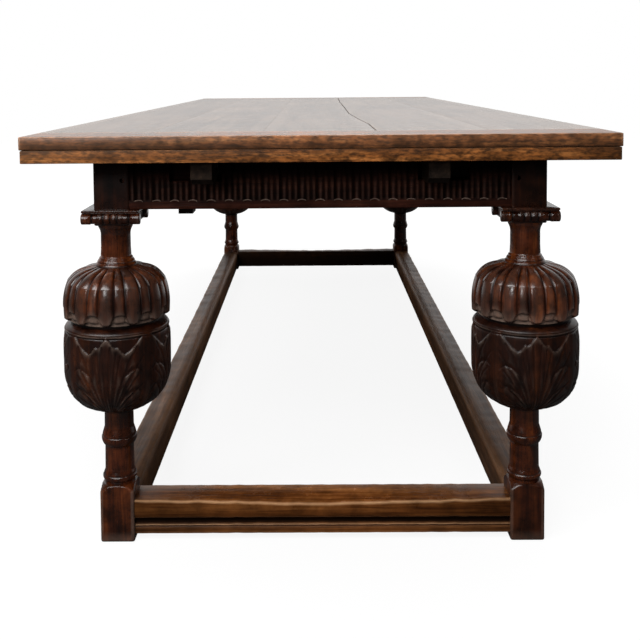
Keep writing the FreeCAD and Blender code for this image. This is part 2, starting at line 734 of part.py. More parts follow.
def leaf(name, across, degrees):
    """A leaf with its cleats, runners and stop block, drawn at the near end and turned to its own."""
    levels = (LEAF_UNDER, LEAF_TOP)
    outer_seam, inner_seam = f"(-{TOP_END} + outer_cleat)", f"(-{LEAF_INNER} - inner_cleat)"
    boards(name, LEAF_WIDTH, (outer_seam, inner_seam), levels, degrees)
    cleat(f"{name}_outer_cleat", LEAF_WIDTH, (f"-{TOP_END}", outer_seam), levels, 1, degrees)
    cleat(f"{name}_inner_cleat", LEAF_WIDTH, (inner_seam, f"-{LEAF_INNER}"), levels, 0, degrees)
    left, right = (f"-{across}", across) if degrees == 0 else (across, f"-{across}")
    runner(f"{name}_left_runner", left, degrees)
    runner(f"{name}_right_runner", right, degrees)
    stop_block(f"{name}_stop_block", across, degrees)


def main_top():
    """The loose top: boards between two cleated ends, with two pegs that stand in the bearer."""
    levels = (TOP_UNDER, "top_height")
    near, far = f"(-{TOP_END} + outer_cleat)", f"({TOP_END} - outer_cleat)"
    boards("top", "top_width", (near, far), levels, sunk=True)
    cleat("top_near_cleat", "top_width", (f"-{TOP_END}", near), levels, 1)
    cleat("top_far_cleat", "top_width", (far, TOP_END), levels, 0)
    pegs = []
    for side in ("-1", "1"):
        foot, spot = f"{TOP_UNDER} - locator_reach", f"{side} * {LOCATOR_ACROSS}"
        pegs.append(rod("locator_radius", "locator_reach + locator_sink", spot, "0", foot))
    return node(group(*pegs), "top_locating_pegs")


def frame():
    """Legs, capitals, rails, stretchers and the members under the middle."""
    corners = (("near_left", -1, -1), ("near_right", 1, -1), ("far_right", 1, 1), ("far_left", -1, 1))
    for turn, (name, x_sign, y_sign) in enumerate(corners):
        spot = (f"{x_sign} * {LEG_ACROSS}", f"{y_sign} * {LEG_ALONG}")
        leg(f"{name}_leg", *spot, 90 * turn)
        capital(f"{name}_capital", *spot)
    rail("near_end_rail", END_RAIL_LONG, "end_flute_count", "0", f"-{FRAME_END}", 0, NEAR_RUNNER)
    rail("far_end_rail", END_RAIL_LONG, "end_flute_count", "0", FRAME_END, 180, FAR_RUNNER)
    rail("left_side_rail", SIDE_RAIL_LONG, "side_flute_count", f"-{FRAME_SIDE}", "0", -90)
    rail("right_side_rail", SIDE_RAIL_LONG, "side_flute_count", FRAME_SIDE, "0", 90)
    stretcher("near_end_stretcher", END_STRETCHER_LONG, "0", f"-{LEG_ALONG}", 0)
    stretcher("far_end_stretcher", END_STRETCHER_LONG, "0", LEG_ALONG, 180)
    stretcher("left_side_stretcher", SIDE_STRETCHER_LONG, f"-{LEG_ACROSS}", "0", -90)
    stretcher("right_side_stretcher", SIDE_STRETCHER_LONG, LEG_ACROSS, "0", 90)
    rail_pegs()
    cross_rail("near_cross_rail", 0)
    cross_rail("far_cross_rail", 180)
    bearer()


def write_parts():
    """Checks every object and writes each sub-part to its own file."""
    doc.recompute()
    failed = [item.Name for item in doc.Objects if {"Invalid", "Error"} & set(item.State)]
    if failed:
        raise RuntimeError(f"objects that failed: {failed}")
    for thing in nodes:
        if thing.Shape.isNull() or not thing.Shape.isValid():
            raise RuntimeError(f"bad shape: {thing.Label}")
    os.makedirs("parts", exist_ok=True)
    for thing in nodes:
        thing.Shape.exportStep(os.path.join("parts", f"{thing.Label}.step"))
    print(f"{len(nodes)} sub-parts written")


frame()
leaf("near_leaf", NEAR_RUNNER, 0)
leaf("far_leaf", FAR_RUNNER, 180)
main_top()
write_parts()
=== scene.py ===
import logging
import math
from collections.abc import Callable
from dataclasses import dataclass, field
from enum import Enum

import bpy
import numpy as np
from mathutils import Matrix, Vector


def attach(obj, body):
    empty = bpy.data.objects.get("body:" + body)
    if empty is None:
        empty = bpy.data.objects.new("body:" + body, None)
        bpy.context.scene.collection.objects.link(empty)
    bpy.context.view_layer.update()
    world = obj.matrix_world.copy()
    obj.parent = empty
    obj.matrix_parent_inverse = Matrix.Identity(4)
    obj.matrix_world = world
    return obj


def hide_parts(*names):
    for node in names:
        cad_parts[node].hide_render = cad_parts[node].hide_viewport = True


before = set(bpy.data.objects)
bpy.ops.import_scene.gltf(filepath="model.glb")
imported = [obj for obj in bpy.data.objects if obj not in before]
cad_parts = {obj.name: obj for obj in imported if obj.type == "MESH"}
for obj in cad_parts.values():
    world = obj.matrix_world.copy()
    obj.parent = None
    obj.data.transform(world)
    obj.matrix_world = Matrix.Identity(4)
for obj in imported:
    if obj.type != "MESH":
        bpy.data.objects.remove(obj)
log = logging.getLogger("draw_leaf_table")

MM = 0.001
SQUARE_POINTS = 128

Array = np.ndarray
Faces = list[tuple[int, ...]]
Material = bpy.types.Material
Outputs = bpy.types.bpy_prop_collection
Piece = bpy.types.Object
Socket = bpy.types.NodeSocket
Span = tuple[float, float]
Triple = tuple[float, float, float]


class Grain(Enum):
    """The axis that the grain of a piece runs along."""

    ALONG_X = 0
    ALONG_Y = 1
    ALONG_Z = 2

    def drawn(self, share: float) -> Triple:
        """Scale of a pattern that is drawn out along the grain."""
        return tuple(share if axis == self.value else 1.0 for axis in range(3))


class Corner(Enum):
    """The corners of the frame, as signs of x and y."""

    NEAR_LEFT = (-1, -1)
    NEAR_RIGHT = (1, -1)
    FAR_RIGHT = (1, 1)
    FAR_LEFT = (-1, 1)

    @property
    def label(self) -> str:
        """Name of the corner in the names of the CAD nodes."""
        return self.name.lower()

    def seat(self, across: float, along: float) -> Array:
        """Place on the floor at some distances from the middle."""
        return np.array([self.value[0] * across, self.value[1] * along, 0.0])


class NodeSheet:
    """A node tree, with short calls that add nodes and links."""

    def __init__(self, tree: bpy.types.NodeTree) -> None:
        """Empties the tree."""
        self.tree = tree
        tree.nodes.clear()

    def add(self, kind: str, inputs: dict | None = None, **settings: object) -> Outputs:
        """Adds a node.

        Args:
            kind: Blender's type name of the node.
            inputs: Sockets or plain values by the name or index of the input that they feed.
            settings: Properties of the node itself.

        Returns:
            The node's outputs.
        """
        node = self.tree.nodes.new(kind)
        for name, value in settings.items():
            setattr(node, name, value)
        for key, item in (inputs or {}).items():
            if isinstance(item, Socket):
                self.tree.links.new(item, node.inputs[key])
            else:
                node.inputs[key].default_value = item
        return node.outputs

    def attribute(self, name: str) -> Socket:
        """Value of a float attribute of the mesh."""
        return self.add("ShaderNodeAttribute", attribute_name=name)["Fac"]

    def math(self, operation: str, first: Socket | float, second: Socket | float) -> Socket:
        """Result of a math node."""
        return self.add("ShaderNodeMath", {0: first, 1: second}, operation=operation)[0]

    def scaled(self, place: Socket, scale: Triple) -> Socket:
        """A place with its axes scaled."""
        return self.add("ShaderNodeMapping", {"Vector": place, "Scale": scale})[0]

    def between(self, value: Socket, start: float, stop: float, low: float = 0.0,
                high: float = 1.0) -> Socket:
        """A value mapped from one span to another and held at its ends."""
        spans = {"From Min": start, "From Max": stop, "To Min": low, "To Max": high}
        return self.add("ShaderNodeMapRange", {"Value": value, **spans})[0]

    def noise(self, place: Socket, scale: float, detail: float, roughness: float,
              distortion: float = 0.0) -> Socket:
        """Grey noise at a place."""
        look = {"Scale": scale, "Detail": detail, "Roughness": roughness, "Distortion": distortion}
        return self.add("ShaderNodeTexNoise", {"Vector": place, **look})["Fac"]

    def ramp(self, fac: Socket, stops: list[tuple[float, Triple]]) -> Socket:
        """Colour of a ramp.

        Args:
            fac: Where on the ramp.
            stops: Places on the ramp and their colours.

        Returns:
            The colour.
        """
        node = self.tree.nodes.new("ShaderNodeValToRGB")
        self.tree.links.new(fac, node.inputs["Fac"])
        elements = node.color_ramp.elements
        while len(elements) < len(stops):
            elements.new(0.5)
        for element, (place, colour) in zip(elements, stops):
            element.position = place
            element.color = (*colour, 1.0)
        return node.outputs["Color"]

    def mix(self, fac: Socket | float, first: Socket | Triple, second: Socket | Triple,
            blend: str = "MIX") -> Socket:
        """Mix of two colours.

        Args:
            fac: Share of the second colour.
            first: The first colour.
            second: The second colour.
            blend: Blender's name of the way that they are mixed.

        Returns:
            The mixed colour.
        """
        colours = [item if isinstance(item, Socket) else (*item, 1.0) for item in (first, second)]
        inputs = {0: fac, 6: colours[0], 7: colours[1]}
        return self.add("ShaderNodeMix", inputs, data_type="RGBA", blend_type=blend)[2]

    def varied(self, colour: Socket, pattern: Socket, stops: Span, shares: Span) -> Socket:
        """A colour darkened and lightened by a pattern.

        Args:
            colour: The colour.
            pattern: The pattern.
            stops: Its values where the colour is darkest and lightest.
            shares: How much darker and how much lighter the colour is there.

        Returns:
            The varied colour.
        """
        tones = self.ramp(pattern, [(stops[0], (1.0 - shares[0],) * 3), (stops[1], (1.0 + shares[1],) * 3)])
        return self.mix(1.0, colour, tones, "MULTIPLY")


def new_material(name: str) -> tuple[Material, NodeSheet]:
    """Makes an empty material.

    Args:
        name: Its name.

    Returns:
        The material and the sheet of its nodes.
    """
    material = bpy.data.materials.new(name)
    material.use_nodes = True
    return material, NodeSheet(material.node_tree)


@dataclass(frozen=True)
class OakFinish:
    """An oak surface: three grain colours, its gloss, and a pale and a dark colour mixed in by point values:
    the pale one for wearing and painted highlights, the dark one for pores, soiling and painted shade.
    """

    name: str
    dark: Triple
    middle: Triple
    light: Triple
    grain: Grain
    worn: Triple
    dirt_and_shade: Triple
    roughness: float = 0.42
    coat: float = 0.0
    gloss: float = 0.35
    line_scale: float = 130.0
    pore: float = 0.55
    broad: float = 0.45
    bump: float = 0.35
    mottled: float = 0.2
    fleck: float = 0.0
    uneven: float = 0.22
    tone_shift: float = 3.7
    pore_scale: float = 620.0
    broad_scale: float = 3.2
    mottle_scale: float = 34.0
    fleck_scale: float = 210.0
    bump_depth: float = 0.0007

    def material(self) -> Material:
        """Builds the procedural material.

        Returns:
            The material, with grain lines, pores, broad tone, flecks, wearing and painted highlights, soiling
            and painted shade.
        """
        material, sheet = new_material(self.name)
        tone, worn, dirt_and_shade_fac = (sheet.attribute(name) for name in ("tone", "wear", "cavity"))
        step = sheet.math("MULTIPLY", tone, self.tone_shift)
        shift = sheet.add("ShaderNodeCombineXYZ", {0: step, 1: step, 2: step})[0]
        place = sheet.add("ShaderNodeTexCoord")["Object"]
        moved = sheet.add("ShaderNodeVectorMath", {0: place, 1: shift}, operation="ADD")[0]
        lines_at = sheet.scaled(moved, self.grain.drawn(0.05))
        lines = sheet.noise(lines_at, self.line_scale, 6.0, 0.62, 0.6)
        rings = sheet.noise(lines_at, self.line_scale * 0.22, 3.0, 0.5, 1.2)
        pores = sheet.noise(sheet.scaled(moved, self.grain.drawn(0.011)), self.pore_scale, 2.0, 0.5)
        broad = sheet.noise(moved, self.broad_scale, 3.0, 0.55)
        mottle = sheet.noise(moved, self.mottle_scale, 4.0, 0.6)
        grain = sheet.math("ADD", sheet.math("MULTIPLY", lines, 0.55), sheet.math("MULTIPLY", rings, 0.45))
        colour = sheet.ramp(grain, [(0.36, self.dark), (0.5, self.middle), (0.66, self.light)])
        pits = sheet.ramp(pores, [(0.3, (1.0, 1.0, 1.0)), (0.42, (0.0, 0.0, 0.0))])
        colour = sheet.mix(sheet.math("MULTIPLY", pits, self.pore), colour, self.dirt_and_shade)
        colour = sheet.varied(colour, broad, (0.3, 0.7), (self.broad, 0.6 * self.broad))
        colour = sheet.varied(colour, mottle, (0.35, 0.66), (self.mottled, self.mottled))
        each = sheet.ramp(tone, [(0.0, (0.82, 0.8, 0.78)), (1.0, (1.18, 1.2, 1.22))])
        colour = sheet.mix(1.0, colour, each, "MULTIPLY")
        if self.fleck:
            flecks = sheet.noise(sheet.scaled(moved, self.grain.drawn(0.35)), self.fleck_scale, 2.0, 0.6)
            colour = sheet.varied(colour, flecks, (0.36, 0.62), (self.fleck, 0.6 * self.fleck))
        # Point values paint light and shade as well as wearing and soiling: the pale colour goes on scuffed
        # places and painted highlights, the dark one on soiled places and painted shade.
        pale_share = sheet.math("MULTIPLY", worn, sheet.math("ADD", mottle, 0.35))
        colour = sheet.mix(dirt_and_shade_fac, sheet.mix(pale_share, colour, self.worn), self.dirt_and_shade)
        patchy = sheet.math("MULTIPLY", mottle, self.uneven)
        rough = sheet.math("ADD", patchy, self.roughness - 0.5 * self.uneven)
        rough = sheet.math("ADD", rough, sheet.math("MULTIPLY", dirt_and_shade_fac, 0.25))
        clean = sheet.math("SUBTRACT", 1.0, sheet.math("MULTIPLY", dirt_and_shade_fac, 0.6))
        shine = sheet.math("MULTIPLY", clean, self.gloss)
        relief = sheet.math("SUBTRACT", lines, sheet.math("MULTIPLY", pits, 0.8))
        bump = sheet.add("ShaderNodeBump", {
            "Height": relief, "Strength": self.bump, "Distance": self.bump_depth})["Normal"]
        shader = sheet.add("ShaderNodeBsdfPrincipled", {
            "Base Color": colour, "Roughness": rough, "Specular IOR Level": shine, "Normal": bump,
            "Coat Weight": self.coat, "Coat Roughness": 0.16})
        sheet.add("ShaderNodeOutputMaterial", {"Surface": shader[0]})
        return material


# Each finish's pale colour (worn) shows wearing and painted highlights, and its dark colour (dirt_and_shade)
# pores, soiling and painted shade.
FINISHES = {
    "carved": OakFinish(
        "carved_dark_oak", (0.016, 0.0032, 0.0010), (0.046, 0.0098, 0.0026), (0.120, 0.030, 0.0066),
        Grain.ALONG_Z, (0.26, 0.185, 0.145), (0.0024, 0.0009, 0.0006), roughness=0.21, gloss=0.5,
        line_scale=90.0, broad=0.6, bump=0.2, mottled=0.6),
    # The friezes' pale colour shows only painted highlights, at the lit flute feet and the lighter lines;
    # their dark colour shows pores and painted shade.
    "frieze_x": OakFinish(
        "frieze_oak_ends", (0.015, 0.0044, 0.0028), (0.044, 0.0120, 0.0070), (0.096, 0.029, 0.0150),
        Grain.ALONG_X, (0.55, 0.40, 0.32), (0.0020, 0.0011, 0.0010), roughness=0.4, gloss=0.12, mottled=0.3),
    "frieze_y": OakFinish(
        "frieze_oak_sides", (0.012, 0.0038, 0.0022), (0.036, 0.0100, 0.0055), (0.080, 0.024, 0.0115),
        Grain.ALONG_Y, (0.55, 0.40, 0.32), (0.0020, 0.0011, 0.0010), roughness=0.4, gloss=0.12, mottled=0.3),
    # The end stretchers' pale colour shows the scuffed arris and bead, which also stand in for painted
    # highlight lines.
    "stretcher_x": OakFinish(
        "stretcher_oak_ends", (0.042, 0.0120, 0.0030), (0.118, 0.037, 0.0085), (0.225, 0.083, 0.022),
        Grain.ALONG_X, (0.47, 0.265, 0.135), (0.006, 0.0025, 0.0012), roughness=0.25, gloss=0.12,
        mottled=0.3),
    "stretcher_y": OakFinish(
        "stretcher_oak_sides", (0.040, 0.016, 0.007), (0.098, 0.042, 0.017), (0.180, 0.086, 0.041),
        Grain.ALONG_Y, (0.28, 0.14, 0.065), (0.005, 0.0025, 0.0014), roughness=0.32, gloss=0.075,
        mottled=0.25),
    "plain_x": OakFinish(
        "plain_oak_across", (0.022, 0.012, 0.007), (0.055, 0.029, 0.016), (0.105, 0.058, 0.032),
        Grain.ALONG_X, (0.17, 0.10, 0.06), (0.006, 0.004, 0.003), roughness=0.6, gloss=0.1),
    # plain_y is the plain oak made darker: painted shade on the runners and stop blocks under the leaves.
    "plain_y": OakFinish(
        "shaded_plain_oak_along", (0.008, 0.0048, 0.0032), (0.019, 0.0115, 0.0076), (0.040, 0.024, 0.0155),
        Grain.ALONG_Y, (0.17, 0.10, 0.06), (0.006, 0.004, 0.003), roughness=0.6, gloss=0.1),
    "peg": OakFinish(
        "peg_oak", (0.040, 0.017, 0.009), (0.090, 0.040, 0.020), (0.160, 0.078, 0.040), Grain.ALONG_X,
        (0.16, 0.09, 0.055), (0.004, 0.0025, 0.002), roughness=0.45, coat=0.1),
    "top_y": OakFinish(
        "top_oak_boards", (0.085, 0.050, 0.031), (0.160, 0.102, 0.068), (0.250, 0.172, 0.122),
        Grain.ALONG_Y, (0.42, 0.30, 0.22), (0.012, 0.007, 0.005), roughness=0.26, gloss=0.5,
        line_scale=105.0, broad=0.3, bump=0.02, uneven=0.08),
    "top_x": OakFinish(
        "top_oak_cleats", (0.070, 0.0200, 0.0050), (0.220, 0.072, 0.0190), (0.415, 0.175, 0.056),
        Grain.ALONG_X, (0.48, 0.28, 0.18), (0.010, 0.005, 0.002), roughness=0.28, gloss=0.35,
        line_scale=105.0, mottled=0.4, bump=0.15, fleck=0.65),
    "leaf_y": OakFinish(
        "leaf_oak_boards", (0.050, 0.021, 0.008), (0.130, 0.056, 0.022), (0.245, 0.122, 0.056),
        Grain.ALONG_Y, (0.38, 0.21, 0.12), (0.010, 0.005, 0.002), roughness=0.4, gloss=0.3,
        line_scale=105.0, mottled=0.3),
    "leaf_x": OakFinish(
        "leaf_oak_cleats", (0.082, 0.0240, 0.0055), (0.250, 0.083, 0.0180), (0.465, 0.192, 0.057),
        Grain.ALONG_X, (0.42, 0.22, 0.11), (0.010, 0.005, 0.002), roughness=0.36, gloss=0.2,
        line_scale=105.0, mottled=0.45, fleck=0.7),
}


@dataclass
class MeshParts:
    """Points, faces and surface values gathered for one piece, in millimetres."""

    points: list[Array] = field(default_factory=list)
    faces: Faces = field(default_factory=list)
    values: dict[str, list[Array]] = field(default_factory=lambda: {"wear": [], "cavity": [], "tone": []})

    def add(self, points: Array, faces: Faces, wear: Array | float, cavity: Array | float,
            tone: float) -> None:
        """Adds a shell.

        Args:
            points: Coordinates, in an array of any shape that ends in 3.
            faces: Corner numbers of each face, counted from this shell's first point.
            wear: Share of the pale colour at each point, or one for all: wearing, and painted highlights.
            cavity: Share of the dark colour at each point, or one for all: soiling, and painted shade.
            tone: Tone of the wood.
        """
        first = sum(len(shell) for shell in self.points)
        self.points.append(points.reshape(-1, 3))
        self.faces.extend(tuple(first + corner for corner in face) for face in faces)
        for label, item in (("wear", wear), ("cavity", cavity), ("tone", tone)):
            self.values[label].append(np.broadcast_to(np.ravel(item), len(self.points[-1])))

    def piece(self, name: str, material: Material, smooth: float) -> Piece:
        """Makes the object.

        Args:
            name: Name of the piece.
            material: Its finish.
            smooth: Angle in degrees below which edges are shaded smooth.

        Returns:
            The object, at the origin.
        """
        mesh = bpy.data.meshes.new(name)
        mesh.from_pydata((np.vstack(self.points) * MM).tolist(), [], self.faces)
        for label, values in self.values.items():
            layer = mesh.attributes.new(label, "FLOAT", "POINT")
            layer.data.foreach_set("value", np.concatenate(values).astype(np.float32))
        mesh.materials.append(material)
        mesh.shade_smooth()
        mesh.set_sharp_from_angle(angle=math.radians(smooth))
        mesh.update()
        piece = bpy.data.objects.new(name, mesh)
        bpy.context.scene.collection.objects.link(piece)
        return piece


def dress(piece: Piece, body: str, slot: str, *nodes: str) -> None:
    """Ties a piece to its body, and hides the CAD nodes that it stands for.

    Args:
        piece: The piece.
        body: Name of the body that it moves with.
        slot: Not used.
        nodes: CAD nodes that it replaces.
    """
    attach(piece, body)
    if nodes:
        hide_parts(*nodes)
    log.info("%s: %d faces", piece.name, len(piece.data.polygons))


def paint(node: str, material: Material) -> None:
    """Gives a CAD node's object a finish.

    Args:
        node: Name of the node.
        material: The finish.
    """
    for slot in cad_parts[node].material_slots:
        slot.material = material
    log.info("%s: painted", node)


def bell(values: Array, centre: float, reach: float) -> Array:
    """A bell curve of height 1 about a centre."""
    return np.exp(-((values - centre) / reach) ** 2)


def rise(values: Array, start: float, reach: float) -> Array:
    """A straight rise from 0 at a start to 1 at a reach past it, or before it if the reach is negative."""
    return np.clip((values - start) / reach, 0, 1)


def dome(values: Array, half: float) -> Array:
    """A half round of height 1 over its half width, with 0 beyond."""
    return np.sqrt(np.clip(1 - (values / half) ** 2, 0, 1))


def turned(points: Array, degrees: float, place: Span) -> Array:
    """Turns points about z and moves them across the floor.

    Args:
        points: Coordinates, in an array of any shape that ends in 3.
        degrees: The turn.
        place: The move along x and y.

    Returns:
        The points, one in each row.
    """
    cos, sin = math.cos(math.radians(degrees)), math.sin(math.radians(degrees))
    x, y, z = points.reshape(-1, 3).T
    return np.column_stack([x * cos - y * sin + place[0], x * sin + y * cos + place[1], z])


def tube_faces(rows: int, columns: int, start_cap: bool = True) -> Faces:
    """Faces of a grid of rings joined round, with flat caps.

    Args:
        rows: Number of rings.
        columns: Points in each ring, counted anticlockwise seen from the last ring.
        start_cap: Whether the first ring is closed, as the last is.

    Returns:
        Corner numbers of the faces, pointing outwards.
    """
    faces = []
    for low in range(0, (rows - 1) * columns, columns):
        for column in range(columns):
            here, after = low + column, low + (column + 1) % columns
            faces.append((here, after, after + columns, here + columns))
    if start_cap:
        faces.append(tuple(range(columns - 1, -1, -1)))
    last = (rows - 1) * columns
    faces.append(tuple(range(last, last + columns)))
    return faces


def rounded_box(x: Span, y: Span, z: Span, ease: float) -> tuple[Array, Faces]:
    """A box with eased edges, as rings along z.

    Args:
        x: Bounds along x.
        y: Bounds along y.
        z: Bounds along z.
        ease: Radius of the edges.

    Returns:
        Points and faces.
    """
    quarter = np.radians(np.linspace(0, 90, 5))
    ring = []
    for start, sx, sy in ((0, 1, 1), (90, -1, 1), (180, -1, -1), (270, 1, -1)):
        centre = ((x[1] if sx > 0 else x[0]) - sx * ease, (y[1] if sy > 0 else y[0]) - sy * ease)
        for angle in quarter + math.radians(start):
            ring.append((centre[0] + ease * math.cos(angle), centre[1] + ease * math.sin(angle)))
    ring = np.array(ring)
    middle = np.array([(x[0] + x[1]) / 2, (y[0] + y[1]) / 2])
    half = np.array([(x[1] - x[0]) / 2, (y[1] - y[0]) / 2])
    rings = []
    for level, inset in ((z[0], ease), (z[0] + 0.3 * ease, 0.3 * ease), (z[0] + ease, 0.0),
                         (z[1] - ease, 0.0), (z[1] - 0.3 * ease, 0.3 * ease), (z[1], ease)):
        flat = middle + (ring - middle) * (half - inset) / half
        rings.append(np.column_stack([flat, np.full(len(flat), level)]))
    return np.vstack(rings), tube_faces(len(rings), len(ring))


def blurred(values: Array, reach: int) -> Array:
    """Smooths a field by repeated averages.

    Args:
        values: The field, closed round its columns and held at its first and last rows.
        reach: Neighbours that each average takes on each side.

    Returns:
        The smooth field.
    """
    out, count = values, 2 * reach + 1
    for _ in range(2):
        out = sum(np.roll(out, step, axis=1) for step in range(-reach, reach + 1)) / count
        padded = np.pad(out, ((reach, reach), (0, 0)), mode="edge")
        out = sum(padded[step:step + len(out)] for step in range(count)) / count
    return out


def ripple(values: Array, seed: int, waves: int = 5, lowest: float = 0.002, highest: float = 0.02) -> Array:
    """Slow waves along a line, mostly between -1 and 1.

    Args:
        values: Places along the line in millimetres.
        seed: Fixed seed of the waves.
        waves: Number of waves that are added.
        lowest: Smallest frequency in cycles per millimetre.
        highest: Largest frequency in cycles per millimetre.

    Returns:
        The sum of the waves at each place.
    """
    rng = np.random.default_rng(seed)
    total = np.zeros_like(values, dtype=float)
    for _ in range(waves):
        total += np.sin(2 * math.pi * rng.uniform(lowest, highest) * values + rng.uniform(0, 2 * math.pi))
    return total / math.sqrt(waves)


@dataclass(frozen=True)
class LeafEdge:
    """The upper edge of one tier of a carved leaf on the unrolled cup, with the hollow cut above it."""

    line: tuple[Span, ...]
    depth: float
    reach: float

    def cut(self, u: Array, v: Array) -> Array:
        """Measures the hollow.

        Args:
            u: Places across the unrolled cup.
            v: Places up it.

        Returns:
            Depth of the hollow at each place.
        """
        across, up = np.array(self.line, float).T
        above = v - np.interp(u, across, up)
        inside = rise(u, across[0], 3.0) * rise(u, across[-1], -3.0)
        return self.depth * inside * rise(above, 0.0, 1.4) * bell(np.clip(above, 0, None), 0.0, self.reach)


@dataclass(frozen=True)
class LeafVein:
    """A curved line cut in a carved leaf, on the unrolled cup."""

    start: Span
    bend: Span
    tip: Span
    depth: float = 1.5

    def cut(self, u: Array, v: Array) -> Array:
        """Measures the line.

        Args:
            u: Places across the unrolled cup.
            v: Places up it.

        Returns:
            Depth of the line at each place.
        """
        share = np.linspace(0, 1, 40)[:, None]
        start, bend, tip = (np.array(spot, float) for spot in (self.start, self.bend, self.tip))
        line = (1 - share) ** 2 * start + 2 * share * (1 - share) * bend + share**2 * tip
        gaps = (u[..., None] - line[:, 0]) ** 2 + (v[..., None] - line[:, 1]) ** 2
        return self.depth * np.exp(-gaps.min(axis=2) / 1.7)


LEAF_CUTS = (
    LeafEdge(
        ((-4, 140), (0, 140), (7, 131), (12, 124), (16, 121), (22, 122), (28, 113), (34, 109), (44, 115),
         (56, 127), (71, 143)), 2.6, 200.0),
    LeafEdge(((25, 52), (33, 68), (45, 78), (58, 81), (69, 72)), 1.9, 7.0),
    LeafEdge(((24, 16), (34, 31), (46, 40), (58, 42), (69, 34)), 1.7, 6.0),
    LeafEdge(((24, -14), (36, -3), (50, 4), (62, 3), (69, -4)), 1.5, 6.0),
    LeafVein((2.6, -10), (3.2, 60), (7.5, 124), 1.7), LeafVein((6, -9), (10, 60), (18, 114)),
    LeafVein((7, -9), (14, 60), (26, 108)), LeafVein((9, -9), (26, 66), (56, 122)),
    LeafVein((8, -9), (22, 62), (47, 110)), LeafVein((10, -9), (34, 56), (68, 104)),
    LeafVein((11, -9), (28, 50), (46, 74)), LeafVein((12, -9), (34, 48), (60, 72)),
    LeafVein((13, -9), (40, 36), (67, 52)), LeafVein((14, -9), (32, 22), (48, 36)),
    LeafVein((16, -9), (40, 16), (64, 28)), LeafVein((18, -10), (38, 0), (60, -2)),
)

# Runs of a leg's turned outline, from inside the foot block to inside the post: radius and height at the
# end of the run, its rows of points, and how far its middle stands out from the straight line.
TURNED_RUNS = (
    (24.0, 99.0, 0, 0.0), (28.0, 101.0, 2, 0.0), (28.2, 110.5, 3, 0.0), (31.4, 119.0, 8, 1.2),
    (29.7, 121.0, 4, 0.15), (29.4, 123.5, 3, 0.0), (27.0, 130.0, 4, 0.0), (26.4, 176.0, 10, 0.0),
    (32.6, 192.5, 12, 2.0), (31.0, 194.5, 5, 0.2), (30.2, 200.5, 4, 0.3), (27.0, 211.0, 5, 0.0),
    (26.6, 244.0, 8, 0.0), (31.4, 247.3, 3, 0.0), (98.2, 317.0, 50, 18.4), (98.4, 392.0, 46, 0.4),
    (96.6, 402.0, 8, 0.3), (90.8, 410.0, 8, 0.9), (82.0, 414.0, 5, 0.3), (82.0, 419.0, 5, 0.0),
    (91.0, 421.5, 4, 0.0), (98.0, 426.0, 6, 0.6), (98.6, 441.0, 12, 0.0), (90.9, 488.0, 30, 2.4),
    (59.7, 510.5, 26, 3.6), (38.4, 515.2, 14, 0.0), (37.6, 516.8, 2, 0.0), (35.0, 520.3, 5, 0.25),
    (34.3, 521.2, 2, 0.0), (34.0, 523.2, 3, 0.2), (31.4, 526.7, 5, 0.25), (30.6, 529.4, 4, 0.0),
    (28.2, 531.5, 3, 0.0), (27.3, 550.0, 6, 0.0), (27.3, 570.0, 6, 0.0), (31.4, 586.5, 9, -1.4),
    (31.8, 594.0, 3, 0.0), (25.0, 595.5, 2, 0.0))
# Heights of painted shade in the creases round a leg, how far it spreads, and how dark it is.
CREASE_SHADE_LINES = (
    (416.5, 4.0, 1.1), (245.5, 3.0, 1.0), (121.2, 0.9, 0.8), (194.7, 0.9, 0.8), (516.0, 1.4, 0.8),
    (522.0, 0.8, 0.7))
# Heights of the rings of a foot block, and how far each stands in from the square.
FOOT_RINGS = (
    (0.0, 1.6), (1.2, 0.5), (4.0, 0.0), (20.0, 0.0), (40.0, 0.0), (60.0, 0.0), (80.0, 0.0), (88.0, 0.0),
    (92.0, 0.0), (95.0, 0.0), (98.0, 0.0), (101.0, 0.0), (103.5, 0.0), (105.0, 0.8), (105.3, 4.0))


